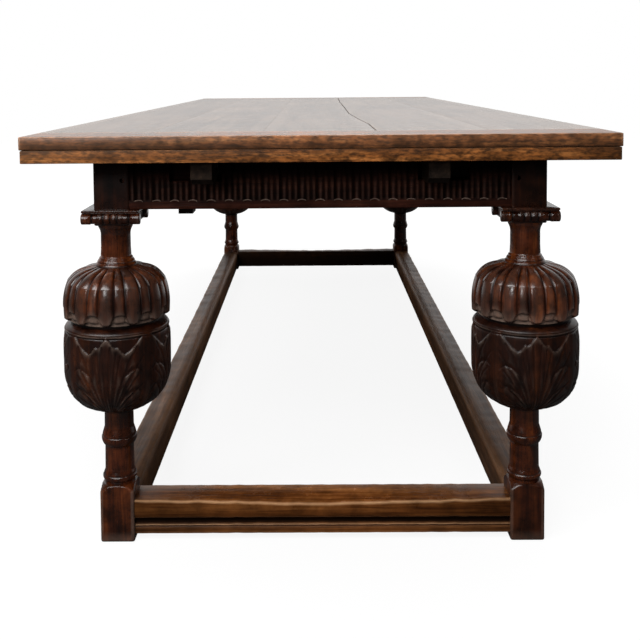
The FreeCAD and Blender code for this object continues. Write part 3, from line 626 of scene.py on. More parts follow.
@dataclass
class CarvedLeg:
    """A bulbous leg: square foot, turned stem, leaf-carved cup, lobed cover, neck and square post."""

    across: float
    along: float
    foot_half: float = 31.5
    foot_high: float = 105.0
    post_half: float = 32.5
    post_low: float = 591.7
    post_high: float = 715.5
    bands: tuple[tuple[float, int], ...] = ((245.0, 72), (416.5, 416), (517.0, 360), (600.0, 96))
    # Painted shade added on the near right leg's cup band and foot.
    near_right_shade: float = 0.38
    tones: dict[str, float] = field(
        default_factory=lambda: {"near_left": 0.4, "near_right": 0.3, "far_right": 0.55, "far_left": 0.65})
    pitch: float = 30.0
    groove_at: float = 8.5
    groove_depth: float = 1.7
    dart_half: float = 6.5
    lobe_drop: float = 4.4
    rib_drop: float = 3.6
    heel_high: float = 429.5
    scoop_at: float = 423.0
    scoop_half: Span = (10.5, 20.0)
    scoop_depth: float = 4.6
    cup_low: float = 247.0
    cup_rim: float = 406.0
    cup_top: float = 412.0
    cup_radius: float = 98.0
    leaf_foot: float = 262.0
    leaf_depth: float = 2.7
    strip_from: float = 42.2
    rim_low: float = 401.0
    rim_lines: Span = (399.6, 404.6)
    cover_low: float = 421.0
    cover_high: float = 516.0

    def outline(self) -> tuple[Array, Array, Array]:
        """Draws the turned outline.

        Returns:
            Radii, heights and outward normals of its points, from the foot up.
        """
        line = [np.array(TURNED_RUNS[0][:2])]
        for radius, height, rows, sag in TURNED_RUNS[1:]:
            start = line[-1]
            chord = np.array([radius, height]) - start
            out = np.array([chord[1], -chord[0]]) / np.linalg.norm(chord)
            for share in np.linspace(0, 1, rows + 1)[1:]:
                line.append(start + chord * share + out * sag * 4 * share * (1 - share))
        along = np.gradient(np.array(line), axis=0)
        normal = np.column_stack([along[:, 1], -along[:, 0]])
        return *np.array(line).T, normal / np.linalg.norm(normal, axis=1, keepdims=True)

    def scoops(self, angle: Array, height: Array) -> Array:
        """Finds the hollows at the feet of the darts.

        Args:
            angle: Degrees round the leg, one for each column.
            height: Heights of the rows.

        Returns:
            How far inside a hollow each point lies, from 0 outside it to 1.
        """
        across = (np.abs(angle % self.pitch - self.pitch / 2) / self.scoop_half[0]) ** 2
        up = ((height - self.scoop_at) / self.scoop_half[1])[:, None] ** 2
        return np.clip(3.0 * (1 - across - up), 0, 1)

    def lobed(self, angle: Array, height: Array) -> Array:
        """Carves the cover: lobes, darts between them and a hollow at the foot of each dart.

        Args:
            angle: Degrees round the leg, one for each column.
            height: Heights of the rows.

        Returns:
            The relief in millimetres, none of it above the turned outline.
        """
        local = np.abs((angle + self.pitch / 2) % self.pitch - self.pitch / 2)
        side, dart = rise(local, 0.0, self.groove_at), rise(local, self.pitch / 2, -self.dart_half)
        lobe = self.lobe_drop * (1 - np.sqrt(1 - (0.93 * side) ** 2))
        rib = 1.0 + self.rib_drop * (1 - np.sqrt(1 - (0.93 * dart) ** 2))
        groove = self.groove_depth * bell(local, self.groove_at, 0.65)
        section = np.where(local < self.groove_at, lobe, rib) + groove
        fade = rise(height, self.cover_high, -5.0)[:, None]
        heel = rise(height, self.heel_high, -8.0)[:, None] * side**2
        return -fade * section - 4.0 * heel - self.scoop_depth * self.scoops(angle, height)

    def leafed(self, angle: Array, height: Array) -> Array:
        """Carves the cup: four spread leaves, plain strips between them and two lines at the rim.

        Args:
            angle: Degrees round the leg, one for each column.
            height: Heights of the rows.

        Returns:
            The relief in millimetres.
        """
        local = (angle + 45.0) % 90.0 - 45.0
        u, v = np.meshgrid(np.abs(np.radians(local) * self.cup_radius), height - self.leaf_foot)
        relief = -0.4 - 0.5 * np.clip(np.sin(u / 5.2 + v / 30.0), 0, 1)
        for leaf in LEAF_CUTS:
            relief -= leaf.cut(u, v)
        strip, rim = rise(np.abs(local), self.strip_from, 0.7), rise(height, self.rim_low, 1.2)[:, None]
        relief = np.maximum(relief * (1 - strip) * (1 - rim), -self.leaf_depth)
        lines = sum(bell(height, line, 0.8) for line in self.rim_lines)[:, None]
        return (relief - 0.9 * lines) * rise(height, self.cup_low - 1.0, 6.0)[:, None]

    def surface(self, low: float, high: float, columns: int) -> tuple[Array, Array, Array]:
        """Makes a band of the turned and carved part about its own axis.

        Args:
            low: Height that the band starts from.
            high: Height that it ends at.
            columns: Points in each of its rings.

        Returns:
            Points by rows and columns, their pale share (wearing, and painted highlights on cut edges) and
            their dark share (soiling and painted shade in the hollows, painted shade in the creases and over
            the cup).
        """
        radius, height, normal = self.outline()
        band = slice(np.searchsorted(height, low), np.searchsorted(height, high) + 1)
        radius, height, normal = radius[band], height[band], normal[band]
        angle = np.arange(columns) * 360.0 / columns
        relief = np.zeros((len(height), columns))
        cup = (height > self.cup_low) & (height < self.cup_rim)
        relief[cup] = self.leafed(angle, height[cup])
        cover = (height > self.cover_low) & (height < self.cover_high)
        relief[cover] = self.lobed(angle, height[cover])
        turn = np.radians(angle)
        reach = radius[:, None] + relief * normal[:, :1]
        lift = height[:, None] + relief * normal[:, 1:]
        points = np.stack([reach * np.cos(turn), reach * np.sin(turn), lift], axis=2)
        detail = relief - blurred(relief, 4)
        # Raised details are paler: wearing of the carving, and painted highlights on the edges of its cuts.
        wear = np.where(cover[:, None], 0.3 * rise(detail, 0.0, 1.8), 0.95 * rise(detail, 0.3, 1.2))
        # Hollows of the carving are darker: soiling in them, and painted shade.
        cavity = rise(-detail, 0.0, 1.5) ** 0.8 * np.where(cover, 0.75, 0.8)[:, None]
        # The deepest cuts of the cup get more painted shade.
        deep = rise(relief, -1.9, -0.9) * cup[:, None]
        # Painted shade in the creases round the leg.
        lines = sum(dark * bell(height, middle, spread) for middle, spread, dark in CREASE_SHADE_LINES)
        # Painted shade over the whole cup band, which light from above reaches less than the cover.
        cup_shade = 0.45 * ((height > self.cup_low) & (height < self.cup_top))
        for dirt_and_shade in (0.35 * deep, 0.9 * np.clip(lines, 0, 1)[:, None], cup_shade[:, None]):
            cavity = np.maximum(cavity, dirt_and_shade)
        pale = self.scoops(angle, height) * (cover * rise(height, 421.5, 3.0))[:, None]
        return points, np.maximum(wear, 0.5 * pale), cavity * (1 - np.clip(1.2 * pale, 0, 1))

    def squared(self, half: float, rings: tuple[Span, ...],
                limit: Callable[[float], float] = lambda level: math.inf) -> Array:
        """Makes rings of a square section with eased corners.

        Args:
            half: Half of the square's width.
            rings: Heights of the rings, and how far each stands in from the square.
            limit: Largest radius at a height, where a turned shoulder cuts the corners.

        Returns:
            Points by rings and columns.
        """
        turn = np.radians(np.arange(SQUARE_POINTS) * 360.0 / SQUARE_POINTS + 0.7)
        square = (np.abs(np.cos(turn)) ** 26 + np.abs(np.sin(turn)) ** 26) ** (-1 / 26)
        points = []
        for level, inset in rings:
            reach = np.minimum((half - inset) * square, limit(level))
            flat = reach * np.cos(turn), reach * np.sin(turn)
            points.append(np.column_stack([*flat, np.full(SQUARE_POINTS, level)]))
        return np.array(points)

    def build(self, corner: Corner, finish: Material) -> None:
        """Makes the leg of one corner.

        Args:
            corner: Which corner it stands at.
            finish: Its carved oak.
        """
        parts = MeshParts()
        seat = corner.seat(self.across, self.along)
        # Only the near right leg gets that painted shade, as light falls from the left.
        tone, near_right_shade = self.tones[corner.label], self.near_right_shade if corner is Corner.NEAR_RIGHT else 0.0
        low = 0.0
        for high, columns in self.bands:
            points, wear, cavity = self.surface(low, high, columns)
            if low == self.bands[0][0]:
                cavity = cavity + near_right_shade * (1 - cavity)
            parts.add(points + seat, tube_faces(len(points), columns), wear, cavity, tone)
            low = high
        foot = self.squared(self.foot_half, FOOT_RINGS, lambda level: 32.2 + (self.foot_high - level) * 1.05)
        chafed = np.where(np.hypot(foot[..., 0], foot[..., 1]) > 40.5, 0.25, 0.0)
        chafed[:3] = 0.25
        parts.add(foot + seat, tube_faces(len(foot), SQUARE_POINTS), chafed, near_right_shade, tone + 0.07)
        low, high = self.post_low, self.post_high
        rings = (
            (low, 2.0), (low + 1.0, 0.4), (low + 4.0, 0.0), (640.0, 0.0), (680.0, 0.0), (high - 1.0, 0.0),
            (high, 0.6))
        post = self.squared(self.post_half, rings)
        edge = np.where(np.hypot(post[..., 0], post[..., 1]) > 42.5, 0.05, 0.0)
        # Painted shade under the top, darker up the post.
        shade = 0.3 + rise(post[..., 2], 640.0, 50.0) * 0.65
        parts.add(post + seat, tube_faces(len(post), SQUARE_POINTS), edge, shade, tone - 0.08)
        piece = parts.piece(f"{corner.label}_carved_leg", finish, 50.0)
        dress(piece, "frame", "carved_oak", f"{corner.label}_leg")


@dataclass
class ScrollCapital:
    """A capital round the head of a leg: two rolls with scrolled ends and a leaf between, under a plate."""

    across: float
    along: float
    half_width: float = 53.0
    half_depth: float = 49.25
    low: float = 595.7
    roll: float = 10.1
    high: float = 621.7
    band_from: float = 38.0
    bead_at: float = 37.0
    quirk_at: float = 33.5
    leaf_half: float = 25.0
    spiral_turns: float = 2.6
    spiral_depth: float = 1.7
    core_half: Span = (46.0, 39.4)
    columns: int = 60

    @property
    def turn(self) -> Array:
        """Angles of the columns round a roll."""
        return np.radians(np.arange(self.columns) * 360.0 / self.columns)

    def about(self, side: int, x: Array, reach: Array) -> Array:
        """Sets points about the axis of a roll.

        Args:
            side: Sign of the roll's place along y.
            x: Places along x.
            reach: Distances from the axis, by rows and columns.

        Returns:
            Points by rows and columns.
        """
        y = side * (self.half_depth - self.roll) + reach * np.cos(self.turn)
        y = np.clip(y, -self.half_depth - 1.5, self.half_depth + 1.5)
        return np.stack([x + 0 * y, y, self.low + self.roll + reach * np.sin(self.turn)], axis=2)

    def roll_points(self, side: int) -> tuple[Array, Array, Array]:
        """Makes a roll along x at the front or the back.

        Args:
            side: Sign of its place along y.

        Returns:
            Points by rows and columns; their pale share, a painted highlight on the upper side of the
            scallops and slight wearing near the roll's ends; and their dark share, painted shade under the
            leaf, darker also between the scallops and in the quirk.
        """
        x = np.unique(np.concatenate([np.linspace(-self.half_width, self.half_width, 97), [-52.3, 52.3]]))
        away = np.abs(x)
        body = np.where(away > self.band_from, self.roll, 8.4 + 0.6 * np.cos((away - 28.0) / 10.0))
        body = np.where(away > 52.6, self.roll - 0.7, body)
        bead = 1.1 * bell(away, self.bead_at, 1.6) - 1.4 * bell(away, self.quirk_at, 1.5)
        leaf = np.clip(1 - (away / self.leaf_half) ** 4, 0, 1)
        scallop = np.abs(np.sin(math.pi * (x + self.leaf_half) / (self.leaf_half / 2)))
        veins = np.cos(6 * self.turn) * leaf[:, None]
        reach = (body + bead + leaf * (1.9 * scallop + 0.3))[:, None] + 0.35 * veins
        upper = np.clip(1.6 * np.sin(self.turn), 0, 1)
        # Painted highlight on the upper side of the scallops.
        wear = 0.4 * leaf[:, None] * np.clip(scallop[:, None] - 0.5, 0, 1) * upper
        wear = np.maximum(wear, 0.12 * bell(away, 50.0, 2.0)[:, None])
        # Darker between the scallops and in the quirk; painted shade on the underside of the leaf.
        dirt_and_shade = np.clip(leaf * (0.5 - scallop) * 2.0 + bell(away, self.quirk_at, 2.0), 0, 1)[:, None]
        dirt_and_shade = np.clip(dirt_and_shade + 0.5 * (1 - upper) * leaf[:, None], 0, 1)
        return self.about(side, x[:, None], reach), wear, dirt_and_shade

    def spiral_points(self, end: int, side: int) -> tuple[Array, Array]:
        """Makes the scrolled end of a roll: a disc with a spiral cut in it.

        Args:
            end: Sign of its place along x.
            side: Sign of the roll's place along y.

        Returns:
            Points by rings and columns, and how much darker each point is, which is most in the spiral cut.
        """
        share = np.linspace(1.0, 0.04, 22)[:, None]
        way = (share * self.spiral_turns - side * self.turn / (2 * math.pi)) % 1.0
        cut = np.where(share > 0.95, 0.0, bell(way, 0.5, 0.16) * np.clip(share * 3.0, 0, 1))
        eye = 0.9 * np.clip(1 - (share / 0.22) ** 2, 0, 1)
        x = end * (self.half_width - 0.1 - self.spiral_depth * cut + 0.6 * eye)
        points = self.about(side, x, (self.roll - 0.7) * share)
        return points[:, ::-end], cut[:, ::-end]

    def build(self, corner: Corner, finish: Material) -> None:
        """Makes the capital of one corner.

        Args:
            corner: Which corner it stands at.
            finish: Its carved oak.
        """
        parts = MeshParts()
        seat = corner.seat(self.across, self.along)
        for side in (-1, 1):
            points, wear, dirt_and_shade = self.roll_points(side)
            parts.add(points + seat, tube_faces(len(points), self.columns), wear, dirt_and_shade, 0.45)
            for end in (-1, 1):
                disc, cut = self.spiral_points(end, side)
                faces = tube_faces(len(disc), self.columns, False)
                parts.add(disc + seat, [face[::-1] for face in faces], 0.15, 0.9 * cut, 0.45)
        wide, deep = self.core_half
        core, faces = rounded_box((-wide, wide), (-deep, deep), (self.low + 0.6, self.high - 5.0), 1.5)
        parts.add(core + seat, faces, 0.0, 0.35, 0.4)
        for inset, low, high in ((2.6, self.high - 6.6, self.high - 3.6), (1.0, self.high - 4.4, self.high)):
            wide, deep = self.half_width - inset, self.half_depth - inset
            plate, faces = rounded_box((-wide, wide), (-deep, deep), (low, high), 1.1)
            parts.add(plate + seat, faces, 0.04, 0.1, 0.5)
        piece = parts.piece(f"{corner.label}_scroll_capital", finish, 50.0)
        dress(piece, "frame", "carved_oak", f"{corner.label}_capital")


@dataclass
class FlutedRail:
    """A rail with a row of flutes on its outer face, drawn along x with that face towards -y."""

    node: str
    length: float
    flutes: int
    place: Span
    turn: float
    notches: tuple[Span, ...] = ()
    slots: tuple[Span, ...] = ()
    bottom: float = 621.7
    top: float = 715.6
    notch_floor: float = 671.7
    notch_depth: float = 15.0
    thick: float = 30.0
    flute_half: float = 8.2
    flute_depth: float = 5.2
    flute_foot: float = 635.5
    flute_head: float = 707.0
    ramp: float = 2.8
    shade_low: float = 654.0
    shade_run: float = 34.0
    fillet_radius: float = 1.5
    fillet_length: float = 66.0
    fillet_spread: float = 5.2
    fillet_sunk: float = 0.45
    fillet_middle: float = 673.0
    across_step: float = 1.3

    @property
    def pitch(self) -> float:
        """Distance between the middles of two flutes."""
        return self.length / self.flutes

    def local(self, x: Array) -> Array:
        """Places along the rail, measured from the middle of the nearest flute."""
        return (x + self.length / 2) % self.pitch - self.pitch / 2

    def depth(self, x: Array, z: Array) -> Array:
        """Cuts the flutes and the lines on the lands between them.

        Args:
            x: Places along the rail.
            z: Places up it.

        Returns:
            How far the outer face is cut back at each place.
        """
        channel = self.flute_depth * dome(self.local(x), self.flute_half)
        ramp = np.clip((z - self.flute_foot) / self.ramp, 0, None) * self.flute_depth
        land = self.pitch / 2 - np.abs(self.local(x))
        lines = 2.2 * bell(land, 0.0, 2.0) * rise(z, self.flute_foot + 1.0, 3.0)
        return (np.minimum(channel, ramp) + lines) * rise(z, self.flute_head, -2.0)

    def marks(self, x: Array, z: Array) -> tuple[Array, Array]:
        """Paints light and shade on the frieze: highlights at the lit feet of the flutes, lighter upright
        lines, shade in the flutes and shade under the top.

        Args:
            x: Places along the rail.
            z: Places up it.

        Returns:
            Painted highlight and painted shade at each place.
        """
        slope, up = self.ramp * dome(self.local(x), self.flute_half), z - self.flute_foot
        # Painted highlights: bright crescents at the flute feet.
        lit = bell(slope - up, 0.5, 0.7) * rise(up, -0.4, 0.6) * (slope > 0.8)
        carved, shade = rise(up, 0.0, 3.0), rise(z, self.shade_low, self.shade_run)
        third = self.pitch / 3
        line = (x + self.length / 2 - 1.5 * third - 0.8 + third / 2) % third - third / 2
        # Painted light: a lighter upright line in each third of a flute's pitch.
        pale = bell(line, 0.0, 2.6) * carved
        wear = np.maximum(0.85 * lit, 0.06 * pale * (1 - shade))
        # Painted shade fills the flutes apart from the lighter lines, deepens under the top, and is lifted at
        # the lit feet.
        return wear, np.maximum(0.88 * carved * (1 - pale), 0.985 * shade) * (1 - lit)

    def segment(self, parts: MeshParts, left: float, right: float, top: float) -> None:
        """Adds a stretch of the rail.

        Args:
            parts: What it is added to.
            left: Where it starts along the rail.
            right: Where it ends.
            top: Its upper level.
        """
        columns = max(3, int((right - left) / self.across_step))
        z = np.unique(np.concatenate([
            [self.bottom, self.bottom + 1.2, self.bottom + 6.0],
            np.linspace(self.flute_foot - 1.0, self.flute_foot + 6.0, 15),
            np.linspace(646.0, 706.0, 6), np.linspace(706.5, 709.0, 5), [top - 0.8, top]]))
        grid_x, grid_z = np.meshgrid(np.linspace(left, right, columns), z[z <= top])
        ease = np.where((grid_z <= self.bottom) | (grid_z >= top), 0.9, 0.0)
        face = np.stack([grid_x, self.depth(grid_x, grid_z) + ease, grid_z], axis=2)
        back = np.stack([grid_x[[-1, 0]], np.full((2, columns), self.thick), grid_z[[-1, 0]]], axis=2)
        points = np.concatenate([face, back]).transpose(1, 0, 2)
        values = [np.concatenate([item, np.zeros((2, columns))]).T for item in self.marks(grid_x, grid_z)]
        parts.add(turned(points, self.turn, self.place), tube_faces(columns, points.shape[1]), *values, 0.5)

    def build(self, finish: Material) -> None:
        """Makes the rail.

        Args:
            finish: Its frieze oak.
        """
        parts = MeshParts()
        ends = (-self.length / 2, self.length / 2)
        marks = sorted({*ends, *(edge for notch in self.notches for edge in notch)})
        for left, right in zip(marks, marks[1:]):
            lowered = any(notch[0] <= left and right <= notch[1] for notch in self.notches)
            self.segment(parts, left, right, self.notch_floor if lowered else self.top)
        for (left, right), (start, stop) in zip(self.notches, self.slots):
            for span in ((left, start), (stop, right)):
                levels = (self.notch_floor - 2.0, self.top)
                points, faces = rounded_box(span, (self.notch_depth, self.thick), levels, 0.4)
                # The backs of the notch rebates get painted shade.
                parts.add(turned(points, self.turn, self.place), faces, 0.0, 0.8, 0.4)
        dress(parts.piece(f"{self.node}_frieze", finish, 60.0), "frame", "frieze_oak", self.node)

    def fillets(self, tree: bpy.types.NodeTree, finish: Material) -> None:
        """Makes the thin half-round fillets, two on the land between each two flutes, as one plain mesh.

        Args:
            tree: The node tree that lays a row of fillets.
            finish: Their frieze oak.
        """
        first = np.array([self.pitch - self.length / 2, self.fillet_sunk, self.fillet_middle])
        start = turned(first, self.turn, self.place)[0]
        moves = np.array([[self.pitch, 0.0, 0.0], [self.fillet_spread, 0.0, 0.0]])
        step, spread = turned(moves, self.turn, (0.0, 0.0))
        mesh = bpy.data.meshes.new(f"{self.node}_fillets")
        piece = bpy.data.objects.new(mesh.name, mesh)
        bpy.context.scene.collection.objects.link(piece)
        places = {"Start": start, "Step": step, "Spread": spread}
        bake_tree(piece, tree, {
            **{name: tuple(place * MM) for name, place in places.items()},
            "Count": self.flutes - 1, "Radius": self.fillet_radius * MM, "Length": self.fillet_length * MM,
            "Finish": finish})
        dress(piece, "frame", "frieze_oak")


def fillet_tree() -> bpy.types.NodeTree:
    """Builds the node tree that lays pairs of fillets along a line.

    Returns:
        The tree, with named inputs for its sizes.
    """
    tree = bpy.data.node_groups.new("fillet_row", "GeometryNodeTree")
    kinds = {"Count": "Int", "Start": "Vector", "Step": "Vector", "Spread": "Vector", "Radius": "Float",
             "Length": "Float", "Finish": "Material"}
    for name, kind in kinds.items():
        tree.interface.new_socket(name, in_out="INPUT", socket_type=f"NodeSocket{kind}")
    tree.interface.new_socket("Geometry", in_out="OUTPUT", socket_type="NodeSocketGeometry")
    sheet = NodeSheet(tree)
    sizes = sheet.add("NodeGroupInput")
    bar = sheet.add("GeometryNodeMeshCylinder", {
        "Vertices": 8, "Radius": sizes["Radius"], "Depth": sizes["Length"]}, fill_type="NGON")["Mesh"]
    join = tree.nodes.new("GeometryNodeJoinGeometry")
    for sign in (-1.0, 1.0):
        start = sheet.add("ShaderNodeVectorMath", {
            0: sizes["Spread"], 1: (sign, sign, sign), 2: sizes["Start"]}, operation="MULTIPLY_ADD")[0]
        row = sheet.add("GeometryNodeMeshLine", {
            "Count": sizes["Count"], "Start Location": start, "Offset": sizes["Step"]})["Mesh"]
        laid = sheet.add("GeometryNodeInstanceOnPoints", {"Points": row, "Instance": bar})["Instances"]
        tree.links.new(laid, join.inputs["Geometry"])
    real = sheet.add("GeometryNodeRealizeInstances", {"Geometry": join.outputs["Geometry"]})["Geometry"]
    painted = sheet.add("GeometryNodeSetMaterial", {
        "Geometry": real, "Material": sizes["Finish"]})["Geometry"]
    sheet.add("NodeGroupOutput", {"Geometry": painted})
    return tree


def bake_tree(piece: Piece, tree: bpy.types.NodeTree, inputs: dict) -> None:
    """Runs a node tree on a piece and leaves its result as the piece's plain mesh.

    Args:
        piece: The piece, with an empty mesh.
        tree: The node tree.
        inputs: Values of the tree's inputs by name.
    """
    modifier = piece.modifiers.new(tree.name, "NODES")
    modifier.node_group = tree
    for item in tree.interface.items_tree:
        if item.item_type == "SOCKET" and item.in_out == "INPUT":
            modifier[item.identifier] = inputs[item.name]
    graph = bpy.context.evaluated_depsgraph_get()
    made = bpy.data.meshes.new_from_object(piece.evaluated_get(graph))
    piece.modifiers.clear()
    piece.data = made
    made.shade_smooth()
    made.set_sharp_from_angle(angle=math.radians(60.0))


@dataclass
class MouldedStretcher:
    """A stretcher with a moulded outer face, drawn along x with that face towards -y."""

    node: str
    length: float
    place: Span
    turn: float
    seed: int
    dish: float
    inner_reach: float = 0.0
    # Painted shade on the inner face.
    inner_shade: float = 0.35
    inner_round: float = 2.6
    depth: float = 58.0
    bottom: float = 13.0
    top: float = 79.0

    def section(self, dip: float) -> list[tuple[float, float, float, float]]:
        """The section at a place where the top's outer arris is worn down by a dip.

        Args:
            dip: Depth of the worn place.

        Returns:
            Points of the section, clockwise seen along +x, with their pale share (wearing of the edges, whose
            arris and bead lines are also painted highlights) and their painted shade.
        """
        front, back = -self.depth / 2, self.depth / 2 + self.inner_reach
        arris, low, high = self.top - dip, self.bottom, self.top
        dark, soft = self.inner_shade, self.inner_round
        bare = 0.5 * max(0.0, 1.0 - 1.2 * dark)
        # Third values: the pale share, wearing of the edges, where the arris and bead lines are also painted
        # highlights. Fourth values: painted shade on the inner face, down the front face, in the cove and in
        # the hollows of the moulding.
        return [
            (back - 1.5, low, 0.0, dark), (back, low + 1.5, 0.0, dark), (back, 45.0, 0.0, dark),
            (back, high - soft, 0.2 * bare, 0.9 * dark),
            (back - 0.1 * soft, high - 0.6 * soft, bare, 0.6 * dark),
            (back - 0.32 * soft, high - 0.27 * soft, bare, 0.4 * dark),
            (back - soft, high, 0.4 * bare, max(0.0, dark - 0.4)),
            (0.0, high - 0.35 * dip, 0.0, max(0.0, dark - 0.5)), (front + 6.0, high - 0.9 * dip, 0.0, 0.0),
            (front + 2.4, arris, 0.55, 0.0), (front + 0.8, arris - 0.8, 1.0, 0.0),
            (front, arris - 2.4, 0.6, 0.05), (front, arris - 5.0, 0.0, 0.2), (front, 54.0, 0.0, 0.28),
            (front, 47.0, 0.0, 0.35), (front + 0.8, 45.0, 0.2, 0.2), (front + 6.0, 41.5, 0.0, 0.95),
            (front + 7.4, 37.0, 0.0, 1.0), (front + 6.4, 33.0, 0.0, 0.95), (front + 3.0, 31.6, 0.2, 0.4),
            (front + 1.6, 30.2, 0.75, 0.0), (front + 2.2, 28.8, 0.3, 0.1), (front + 4.4, 27.6, 0.0, 0.85),
            (front + 3.2, 26.0, 0.1, 0.35), (front + 2.4, 24.6, 0.1, 0.25), (front + 2.4, 19.0, 0.0, 0.25),
            (front + 2.6, low + 1.2, 0.25, 0.2), (front + 4.0, low, 0.0, 0.3),
        ]

    def build(self, finish: Material) -> None:
        """Makes the stretcher.

        Args:
            finish: Its oak.
        """
        x = np.linspace(-self.length / 2, self.length / 2, max(40, int(self.length / 14)))
        share = np.clip(1 - (2 * x / self.length) ** 2, 0, 1)
        dips = np.clip(1.2 + self.dish * share**2 + 0.9 * ripple(x, self.seed), 0.6, None)
        rows = np.array([self.section(dip) for dip in dips])
        wave = 0.35 * ripple(x, self.seed + 1, lowest=0.004, highest=0.03)
        height = np.clip(rows[..., 1] + wave[:, None], self.bottom, self.top)
        points = np.stack([np.broadcast_to(x[:, None], height.shape), rows[..., 0], height], axis=2)
        # Darker towards the ends.
        end_darkening = 0.3 * np.clip(2.2 * np.abs(2 * x / self.length) - 1.2, 0, 1)[:, None]
        dirt_and_shade = rows[..., 3] + end_darkening * (1 - rows[..., 3])
        parts = MeshParts()
        parts.add(turned(points, self.turn, self.place), tube_faces(*height.shape), rows[..., 2], dirt_and_shade,
                  0.3 + 0.1 * (self.seed % 5))
        dress(parts.piece(f"{self.node}_moulded", finish, 32.0), "frame", "stretcher_oak", self.node)


# Path of the bent joint in the top: places along it, and how much of the bend each has.
BENT_JOINT = ((-1205, -970, -790, -460, 0, 580, 1205), (0, 0, 0.47, 1, 0.76, 0.56, 0))
# Distances from a board's end with, at each, how far the section stands in and how rubbed it is.
END_INSETS = ((0.0, 0.6, 2.0), (1.6, 0.5, 0.0))
END_RUBS = ((0.0, 2.5, 4.0), (0.7, 0.5, 0.0))
# Number and frequencies of the waves in a board's edges.
EDGE_WAVES = (6, 0.003, 0.04)
# Points of a board's rounded edges: shares of the radius inwards and off the face, and the pale share, which
# on the upper edge is wearing and partly a painted highlight on the arris.
LOWER_EDGE = ((0.0, 1.0, 0.1), (0.3, 0.3, 0.15), (1.0, 0.0, 0.0))
UPPER_EDGE = ((0.0, 1.0, 0.15), (0.29, 0.29, 0.8), (1.0, 0.0, 0.35))


@dataclass
class Board:
    """A flat board with eased, unevenly scuffed edges, that stands for one CAD node, with painted shade along
    bands of its sides and painted light fading to painted shade along it, where these are given.
    """

    node: str
    body: str
    slot: str
    x: Span
    y: Span
    z: Span
    seed: int
    tone: float
    along_x: bool
    worn_edges: float
    # Painted shade on the lower and upper bands of the board's sides.
    low_edge_shade: float
    high_edge_shade: float
    # Shares of painted light at the board's start and of painted shade at its end.
    fade: Span = (0.0, 0.0)
    edges: Span = (1.0, 1.0)
    bends: Span = (0.0, 0.0)

    def ring(self, sides: Span, levels: Span, upper: float, lower: float) -> list[Triple]:
        """One section of the board, from its lower left edge to its upper left one.

        Args:
            sides: Left and right bounds.
            levels: Lower and upper bounds.
            upper: Radius of an upper edge of full wear.
            lower: Radius of the lower edges.

        Returns:
            Points across and up, each with its pale share: wearing of the edges, partly a painted highlight
            on the upper arris.
        """
        (left, right), (low, high), (left_wear, right_wear) = sides, levels, self.edges
        left_round, right_round = upper * left_wear, upper * right_wear
        flat = np.linspace(left + left_round, right - right_round, 8)[1:-1]
        return [
            *((left + lower * inset, low + lower * lift, worn) for inset, lift, worn in LOWER_EDGE),
            *((right - lower * inset, low + lower * lift, worn) for inset, lift, worn in LOWER_EDGE[::-1]),
            *((right - right_round * inset, high - right_round * drop, worn * right_wear)
              for inset, drop, worn in UPPER_EDGE),
            *((place, high, 0.0) for place in flat[::-1]),
            *((left + left_round * inset, high - left_round * drop, worn * left_wear)
              for inset, drop, worn in UPPER_EDGE[::-1]),
        ]

    def build(self, finish: Material) -> None:
        """Makes the board.

        Args:
            finish: Its oak.
        """
        (start, stop), wide = (self.x, self.y) if self.along_x else (self.y, self.x)
        spots = np.unique(np.concatenate([
            np.linspace(start + 4, stop - 4, max(12, int((stop - start) / 16))),
            [start, start + 0.6, start + 2.0, stop - 2.0, stop - 0.6, stop]]))
        from_end = np.minimum(spots - start, stop - spots)
        insets = np.interp(from_end, *END_INSETS)
        upper = np.clip(1.6 + 0.7 * ripple(spots, self.seed, *EDGE_WAVES) * self.worn_edges, 0.6, 3.6)
        lower = np.clip(1.0 + 0.4 * ripple(spots, self.seed + 1, *EDGE_WAVES), 0.4, 2.0)
        rows = []
        for over, under, inset, shift in zip(upper, lower, insets, np.interp(spots, *BENT_JOINT)):
            left = wide[0] + inset * 0.15 + self.bends[0] * shift
            right = wide[1] - inset * 0.15 + self.bends[1] * shift
            levels = (self.z[0] + inset * 0.6, self.z[1] - inset * 0.6)
            rows.append(self.ring((left, right), levels, over, under))
        across, height, worn = np.moveaxis(np.array(rows), 2, 0)
        up = (height - self.z[0]) / (self.z[1] - self.z[0])
        # Painted shade on the lower and upper bands of the sides.
        under, over = np.clip(1 - up / 0.14, 0, 1), np.clip(1 - (1 - up) / 0.14, 0, 1)
        on_sides = np.array([1, 1, 0, 0, 1, 1, 1, 1, *[0] * 8, 1, 1])
        dirt_and_shade = np.maximum(under * self.low_edge_shade, over * self.high_edge_shade) * on_sides
        share = ((spots - start) / (stop - start))[:, None]
        # Painted shade growing over the second half of the board.
        dirt_and_shade = np.maximum(dirt_and_shade, self.fade[1] * np.clip(2 * share - 1, 0, 1))
        pale_share = np.interp(from_end, *END_RUBS)[:, None]
        # Pale share: wearing of the edges and ends, and painted light fading over the first half of the
        # board.
        wear = (worn + pale_share) * self.worn_edges + self.fade[0] * np.clip(1 - 2 * share, 0, 1)
        run, faces = np.broadcast_to(spots[:, None], up.shape), tube_faces(*up.shape)
        points = np.stack([run, across, height] if self.along_x else [across, run, height], axis=2)
        if not self.along_x:
            faces = [face[::-1] for face in faces]
        parts = MeshParts()
        parts.add(points, faces, np.clip(wear, 0, 1), dirt_and_shade, self.tone)
        dress(parts.piece(f"{self.node}_worn", finish, 50.0), self.body, self.slot, self.node)


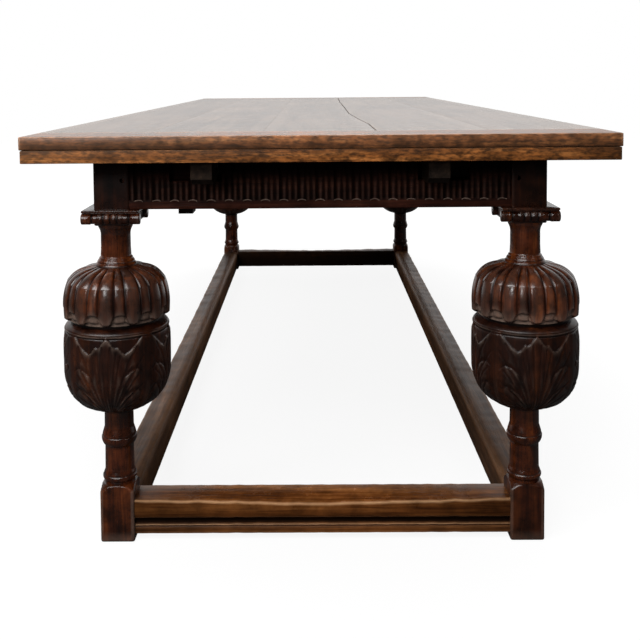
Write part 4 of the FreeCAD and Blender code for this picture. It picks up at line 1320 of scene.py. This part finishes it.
@dataclass
class BoardedTop:
    """A level of boards between cross cleats: the main top or one of the leaves."""

    name: str
    body: str
    slot: str
    half_width: float
    boards_y: Span
    levels: Span
    cleats: dict[str, Span]
    tones: tuple[float, ...]
    seed: int
    flipped: bool = False
    crack: float = 0.15
    bend: float = 0.0
    seam: float = 0.15
    worn_edges: float = 1.0
    # Painted shade on the lower and upper bands of the boards' sides.
    low_edge_shade: float = 0.0
    high_edge_shade: float = 0.0
    # Shares of painted light at the cleats' start and of painted shade at their end.
    fade: Span = (0.0, 0.0)

    def build(self, along: Material, across: Material) -> None:
        """Makes the boards and cleats.

        Args:
            along: Oak with its grain along the table.
            across: Oak with its grain across it.
        """
        joints = self.worn_edges, self.low_edge_shade, self.high_edge_shade
        pitch = 2 * self.half_width / len(self.tones)
        for index, tone in enumerate(self.tones):
            left, right = -self.half_width + index * pitch, -self.half_width + (index + 1) * pitch
            if self.flipped:
                left, right = -right, -left
            gaps = [0.0 if abs(abs(edge) - self.half_width) < 1 else self.seam for edge in (left, right)]
            edges = tuple(0.3 if gap else 1.0 for gap in gaps)
            bends = {2: (0.0, self.bend), 3: (self.bend, 0.0)}.get(index, (0.0, 0.0))
            if index == 3:
                gaps[0] = self.crack
            Board(f"{self.name}_board_{index + 1}", self.body, self.slot, (left + gaps[0], right - gaps[1]),
                  self.boards_y, self.levels, self.seed + 7 * index, tone, False, *joints, edges=edges,
                  bends=bends).build(along)
        for index, (node, y) in enumerate(self.cleats.items()):
            Board(node, self.body, self.slot, (-self.half_width, self.half_width), y, self.levels,
                  self.seed + 60 + index, self.tones[index + 1], True, *joints, self.fade).build(across)


@dataclass
class Carcase:
    """The frame's rails, stretchers, legs and capitals, with the plain members under the top."""

    finishes: dict[str, Material]
    side: float = 412.5
    end: float = 1215.5
    leg_x: float = 380.0
    leg_y: float = 1183.0
    post: float = 65.0
    foot: float = 63.0
    slot_half: float = 19.0
    near_runner: float = 205.2
    far_runner: float = 250.7
    notches: tuple[Span, ...] = ((-273.7, -177.7), (177.7, 273.7))

    def build(self) -> None:
        """Makes every piece of the frame and paints its plain CAD nodes."""
        leg, capital = CarvedLeg(self.leg_x, self.leg_y), ScrollCapital(self.leg_x, self.leg_y)
        for corner in Corner:
            leg.build(corner, self.finishes["carved"])
            capital.build(corner, self.finishes["carved"])
        self.rails()
        self.stretchers()
        for node in ("near_cross_rail", "far_cross_rail", "centre_bearer"):
            paint(node, self.finishes["plain_x"])
        paint("rail_pegs", self.finishes["carved"])

    def slots(self, across: float) -> tuple[Span, ...]:
        """Spans of the two slots that runners go through, at some distance from the middle."""
        return tuple((middle - self.slot_half, middle + self.slot_half) for middle in (-across, across))

    def rails(self) -> None:
        """Makes the four fluted rails, and fillets on the long ones."""
        tree = fillet_tree()
        long, short = 2 * self.leg_y - self.post, 2 * self.leg_x - self.post
        ends = (("near", 0.0, -1, self.near_runner), ("far", 180.0, 1, self.far_runner))
        for name, turn, sign, runner in ends:
            place = (0.0, sign * self.end)
            rail = FlutedRail(f"{name}_end_rail", short, 21, place, turn, self.notches, self.slots(runner))
            rail.build(self.finishes["frieze_x"])
        for name, turn, sign in (("left", -90.0, -1), ("right", 90.0, 1)):
            rail = FlutedRail(f"{name}_side_rail", long, 66, (sign * self.side, 0.0), turn)
            rail.build(self.finishes["frieze_y"])
            rail.fillets(tree, self.finishes["frieze_y"])

    def stretchers(self) -> None:
        """Makes the four moulded stretchers."""
        long, short = 2 * self.leg_y - self.foot, 2 * self.leg_x - self.foot
        # The last value of each end is the painted shade on its inner face.
        ends = (("near", 0.0, -1, 3, 7.0, 4.0, 0.2), ("far", 180.0, 1, 5, 5.0, 2.5, 0.96))
        for name, turn, sign, seed, dish, reach, dirt_and_shade in ends:
            place = (0.0, sign * self.leg_y)
            stretcher = MouldedStretcher(f"{name}_end_stretcher", short, place, turn, seed, dish, reach, dirt_and_shade)
            stretcher.build(self.finishes["stretcher_x"])
        for name, turn, sign, seed in (("left", -90.0, -1, 8), ("right", 90.0, 1, 11)):
            place = (sign * self.leg_x, 0.0)
            stretcher = MouldedStretcher(
                f"{name}_side_stretcher", long, place, turn, seed, 3.0, inner_round=15.0)
            stretcher.build(self.finishes["stretcher_y"])


@dataclass
class Leaves:
    """The two draw leaves and the loose top above them."""

    finishes: dict[str, Material]
    half_length: float = 1320.0
    top_half: float = 513.0
    leaf_half: float = 511.0
    outer_cleat: float = 115.0
    inner_cleat: float = 80.0
    inner: float = 100.5
    top_levels: Span = (739.0, 762.0)
    leaf_levels: Span = (716.0, 738.5)

    def build(self) -> None:
        """Makes the boards and cleats of all three, and paints the runners, stop blocks and pegs."""
        outer, inner = self.half_length - self.outer_cleat, self.inner + self.inner_cleat
        cleats = {"top_near_cleat": (-self.half_length, -outer), "top_far_cleat": (outer, self.half_length)}
        # The top's boards and cleats get painted shade on the lower bands of their sides, and its cleats
        # painted light on the left fading to painted shade on the right.
        top = BoardedTop(
            "top", "top", "top_oak", self.top_half, (-outer, outer), self.top_levels, cleats,
            (0.46, 0.56, 0.42, 0.6, 0.5), 100, crack=2.4, bend=-19.0, low_edge_shade=0.95, fade=(0.1, 0.22))
        top.build(self.finishes["top_y"], self.finishes["top_x"])
        for name, sign, seed in (("near_leaf", -1, 200), ("far_leaf", 1, 300)):
            spans = ((outer, self.half_length), (self.inner, inner), (inner, outer))
            outer_y, inner_y, boards_y = (tuple(sorted(sign * edge for edge in span)) for span in spans)
            # The leaves get painted shade on the upper bands of their sides, under the top, and their cleats
            # painted light on the left fading to painted shade on the right.
            leaf = BoardedTop(
                name, name, "leaf_oak", self.leaf_half, boards_y, self.leaf_levels,
                {f"{name}_outer_cleat": outer_y, f"{name}_inner_cleat": inner_y},
                (0.55, 0.4, 0.62, 0.45, 0.58), seed,
                flipped=sign > 0, worn_edges=0.3, high_edge_shade=0.95, fade=(0.16, 0.55))
            leaf.build(self.finishes["leaf_y"], self.finishes["leaf_x"])
            for part in ("left_runner", "right_runner", "stop_block"):
                paint(f"{name}_{part}", self.finishes["plain_y"])
        paint("top_locating_pegs", self.finishes["peg"])


@dataclass(frozen=True)
class SoftLamp:
    """A rectangular lamp that faces a target, with its power in watts and lengths in metres."""

    name: str
    power: float
    size: Span
    place: Triple
    target: Triple
    mirrored: bool = True

    def build(self) -> None:
        """Hangs the lamp, hidden from reflections unless it is mirrored."""
        data = bpy.data.lights.new(self.name, "AREA")
        data.shape, data.energy = "RECTANGLE", self.power
        data.size, data.size_y = self.size
        lamp = bpy.data.objects.new(self.name, data)
        lamp.location, lamp.visible_glossy = self.place, self.mirrored
        lamp.rotation_euler = (Vector(self.target) - Vector(self.place)).to_track_quat("-Z", "Y").to_euler()
        bpy.context.scene.collection.objects.link(lamp)


LAMPS = (
    SoftLamp("overhead_lamp", 105.0, (2.8, 1.3), (-1.1, -3.3, 3.0), (0.0, -1.1, 0.45)),
    SoftLamp("middle_lamp", 45.0, (2.6, 2.6), (0.0, 0.9, 3.4), (0.0, 0.6, 0.7)),
    SoftLamp("front_lamp", 13.0, (1.2, 0.6), (-1.7, -4.2, 1.2), (0.0, -1.2, 0.4), False),
    SoftLamp("polish_lamp", 18.0, (0.7, 0.5), (-1.3, -4.2, 1.78), (0.0, -1.2, 0.45)),
    SoftLamp("left_lamp", 18.0, (0.4, 0.8), (-2.4, -2.6, 2.7), (-0.3, -1.1, 0.35)),
    SoftLamp("right_lamp", 5.0, (0.2, 0.4), (2.4, -3.0, 2.5), (0.3, -1.1, 0.35)),
    SoftLamp("left_flank_lamp", 90.0, (1.4, 0.2), (-3.2, 3.4, 0.62), (-0.2, 0.2, 0.5), False),
    SoftLamp("right_flank_lamp", 90.0, (1.4, 0.2), (3.2, 3.4, 0.62), (0.2, 0.2, 0.5), False),
    SoftLamp("back_lamp", 26.0, (1.6, 0.8), (0.8, 2.7, 3.9), (0.0, 1.2, 0.4)),
)


@dataclass
class Studio:
    """White surroundings, soft lamps and the camera of the photograph."""

    lens: float = 50.64
    shift: Span = (0.0221, -0.3079)
    eye: Triple = (-0.0134, -2.8419, 0.8616)
    yaw: float = 0.0069
    pitch: float = 0.0519
    roll: float = -0.0079
    room: float = 0.1
    gleam: float = 0.05
    backdrop: float = 1.0
    floor_glow: float = 0.9
    floor_half: float = 9.0
    floor_level: float = -0.0005
    floor_grey: float = 0.1
    floor_clear: Span = (0.7, 1.7)
    floor_behind: Span = (1.5, 4.0)
    sensor: float = 36.0
    far_clip: float = 60.0

    def camera(self) -> None:
        """Places the camera."""
        data = bpy.data.cameras.new("photo_camera")
        data.lens, data.sensor_width = self.lens, self.sensor
        data.shift_x, data.shift_y = self.shift
        data.clip_end = self.far_clip
        camera = bpy.data.objects.new("photo_camera", data)
        bpy.context.scene.collection.objects.link(camera)
        right = Vector((math.cos(self.yaw), math.sin(self.yaw), 0.0))
        ahead = Vector((-math.sin(self.yaw), math.cos(self.yaw), 0.0))
        up = Vector((0.0, 0.0, 1.0))
        look = ahead * math.cos(self.pitch) - up * math.sin(self.pitch)
        head = up * math.cos(self.pitch) + ahead * math.sin(self.pitch)
        side = right * math.cos(self.roll) + head * math.sin(self.roll)
        crown = head * math.cos(self.roll) - right * math.sin(self.roll)
        turn = Matrix((side, crown, -look)).transposed().to_4x4()
        camera.matrix_world = Matrix.Translation(Vector(self.eye)) @ turn
        bpy.context.scene.camera = camera

    def floor(self) -> None:
        """Lays a floor that keeps the table's faint shadow and runs out to white for the camera."""
        material, sheet = new_material("pale_floor")
        place = sheet.add("ShaderNodeTexCoord")["Object"]
        flat = sheet.scaled(place, (1.3, 0.6, 0.0))
        away = sheet.add("ShaderNodeVectorMath", {0: flat}, operation="LENGTH")["Value"]
        behind = sheet.between(sheet.add("ShaderNodeSeparateXYZ", {0: place})["Y"], *self.floor_behind)
        ray = sheet.add("ShaderNodeLightPath")
        open_to = sheet.math("MAXIMUM", ray["Is Camera Ray"], ray["Is Transmission Ray"])
        seen = sheet.math("MAXIMUM", open_to, sheet.math("MULTIPLY", ray["Is Glossy Ray"], behind))
        strength = sheet.math("MULTIPLY", seen, sheet.between(away, *self.floor_clear, self.floor_glow))
        matt = sheet.add("ShaderNodeBsdfDiffuse", {"Color": (*[self.floor_grey] * 3, 1.0)})[0]
        glow = sheet.add("ShaderNodeEmission", {"Strength": strength})[0]
        both = sheet.add("ShaderNodeAddShader", {0: matt, 1: glow})[0]
        sheet.add("ShaderNodeOutputMaterial", {"Surface": both})
        corners = [(x * self.floor_half, y * self.floor_half, self.floor_level)
                   for x, y in ((-1, -1), (1, -1), (1, 1), (-1, 1))]
        mesh = bpy.data.meshes.new("floor")
        mesh.from_pydata(corners, [], [(0, 1, 2, 3)])
        mesh.materials.append(material)
        floor = bpy.data.objects.new("floor", mesh)
        bpy.context.scene.collection.objects.link(floor)

    def surroundings(self) -> None:
        """Sets a world that is white to the camera and in reflections at the back, and dim elsewhere."""
        world = bpy.data.worlds.new("pale_room")
        bpy.context.scene.world = world
        world.use_nodes = True
        sheet = NodeSheet(world.node_tree)
        ray = sheet.add("ShaderNodeLightPath")
        place = sheet.add("ShaderNodeTexCoord")["Generated"]
        along = sheet.add("ShaderNodeSeparateXYZ", {0: place})["Y"]
        behind = sheet.between(along, 0.2, 0.8, self.gleam, self.backdrop)
        open_to = sheet.math("MAXIMUM", ray["Is Camera Ray"], ray["Is Transmission Ray"])
        seen = sheet.math("MAXIMUM", open_to, sheet.math("MULTIPLY", behind, ray["Is Glossy Ray"]))
        level = sheet.math("MAXIMUM", seen, sheet.math("MULTIPLY", ray["Is Diffuse Ray"], self.room))
        sky = sheet.add("ShaderNodeBackground", {"Strength": level, "Color": (1.0, 1.0, 1.0, 1.0)})[0]
        sheet.add("ShaderNodeOutputWorld", {"Surface": sky})

    def build(self) -> None:
        """Sets the camera, the surroundings and the lamps."""
        bpy.context.scene.view_settings.view_transform = "Standard"
        self.camera()
        self.surroundings()
        self.floor()
        for lamp in LAMPS:
            lamp.build()


def main() -> None:
    """Builds the table and its studio."""
    logging.basicConfig(level=logging.INFO, format="%(name)s %(message)s")
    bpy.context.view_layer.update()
    finishes = {name: oak.material() for name, oak in FINISHES.items()}
    Carcase(finishes).build()
    Leaves(finishes).build()
    Studio().build()


if __name__ == "__main__":
    main()
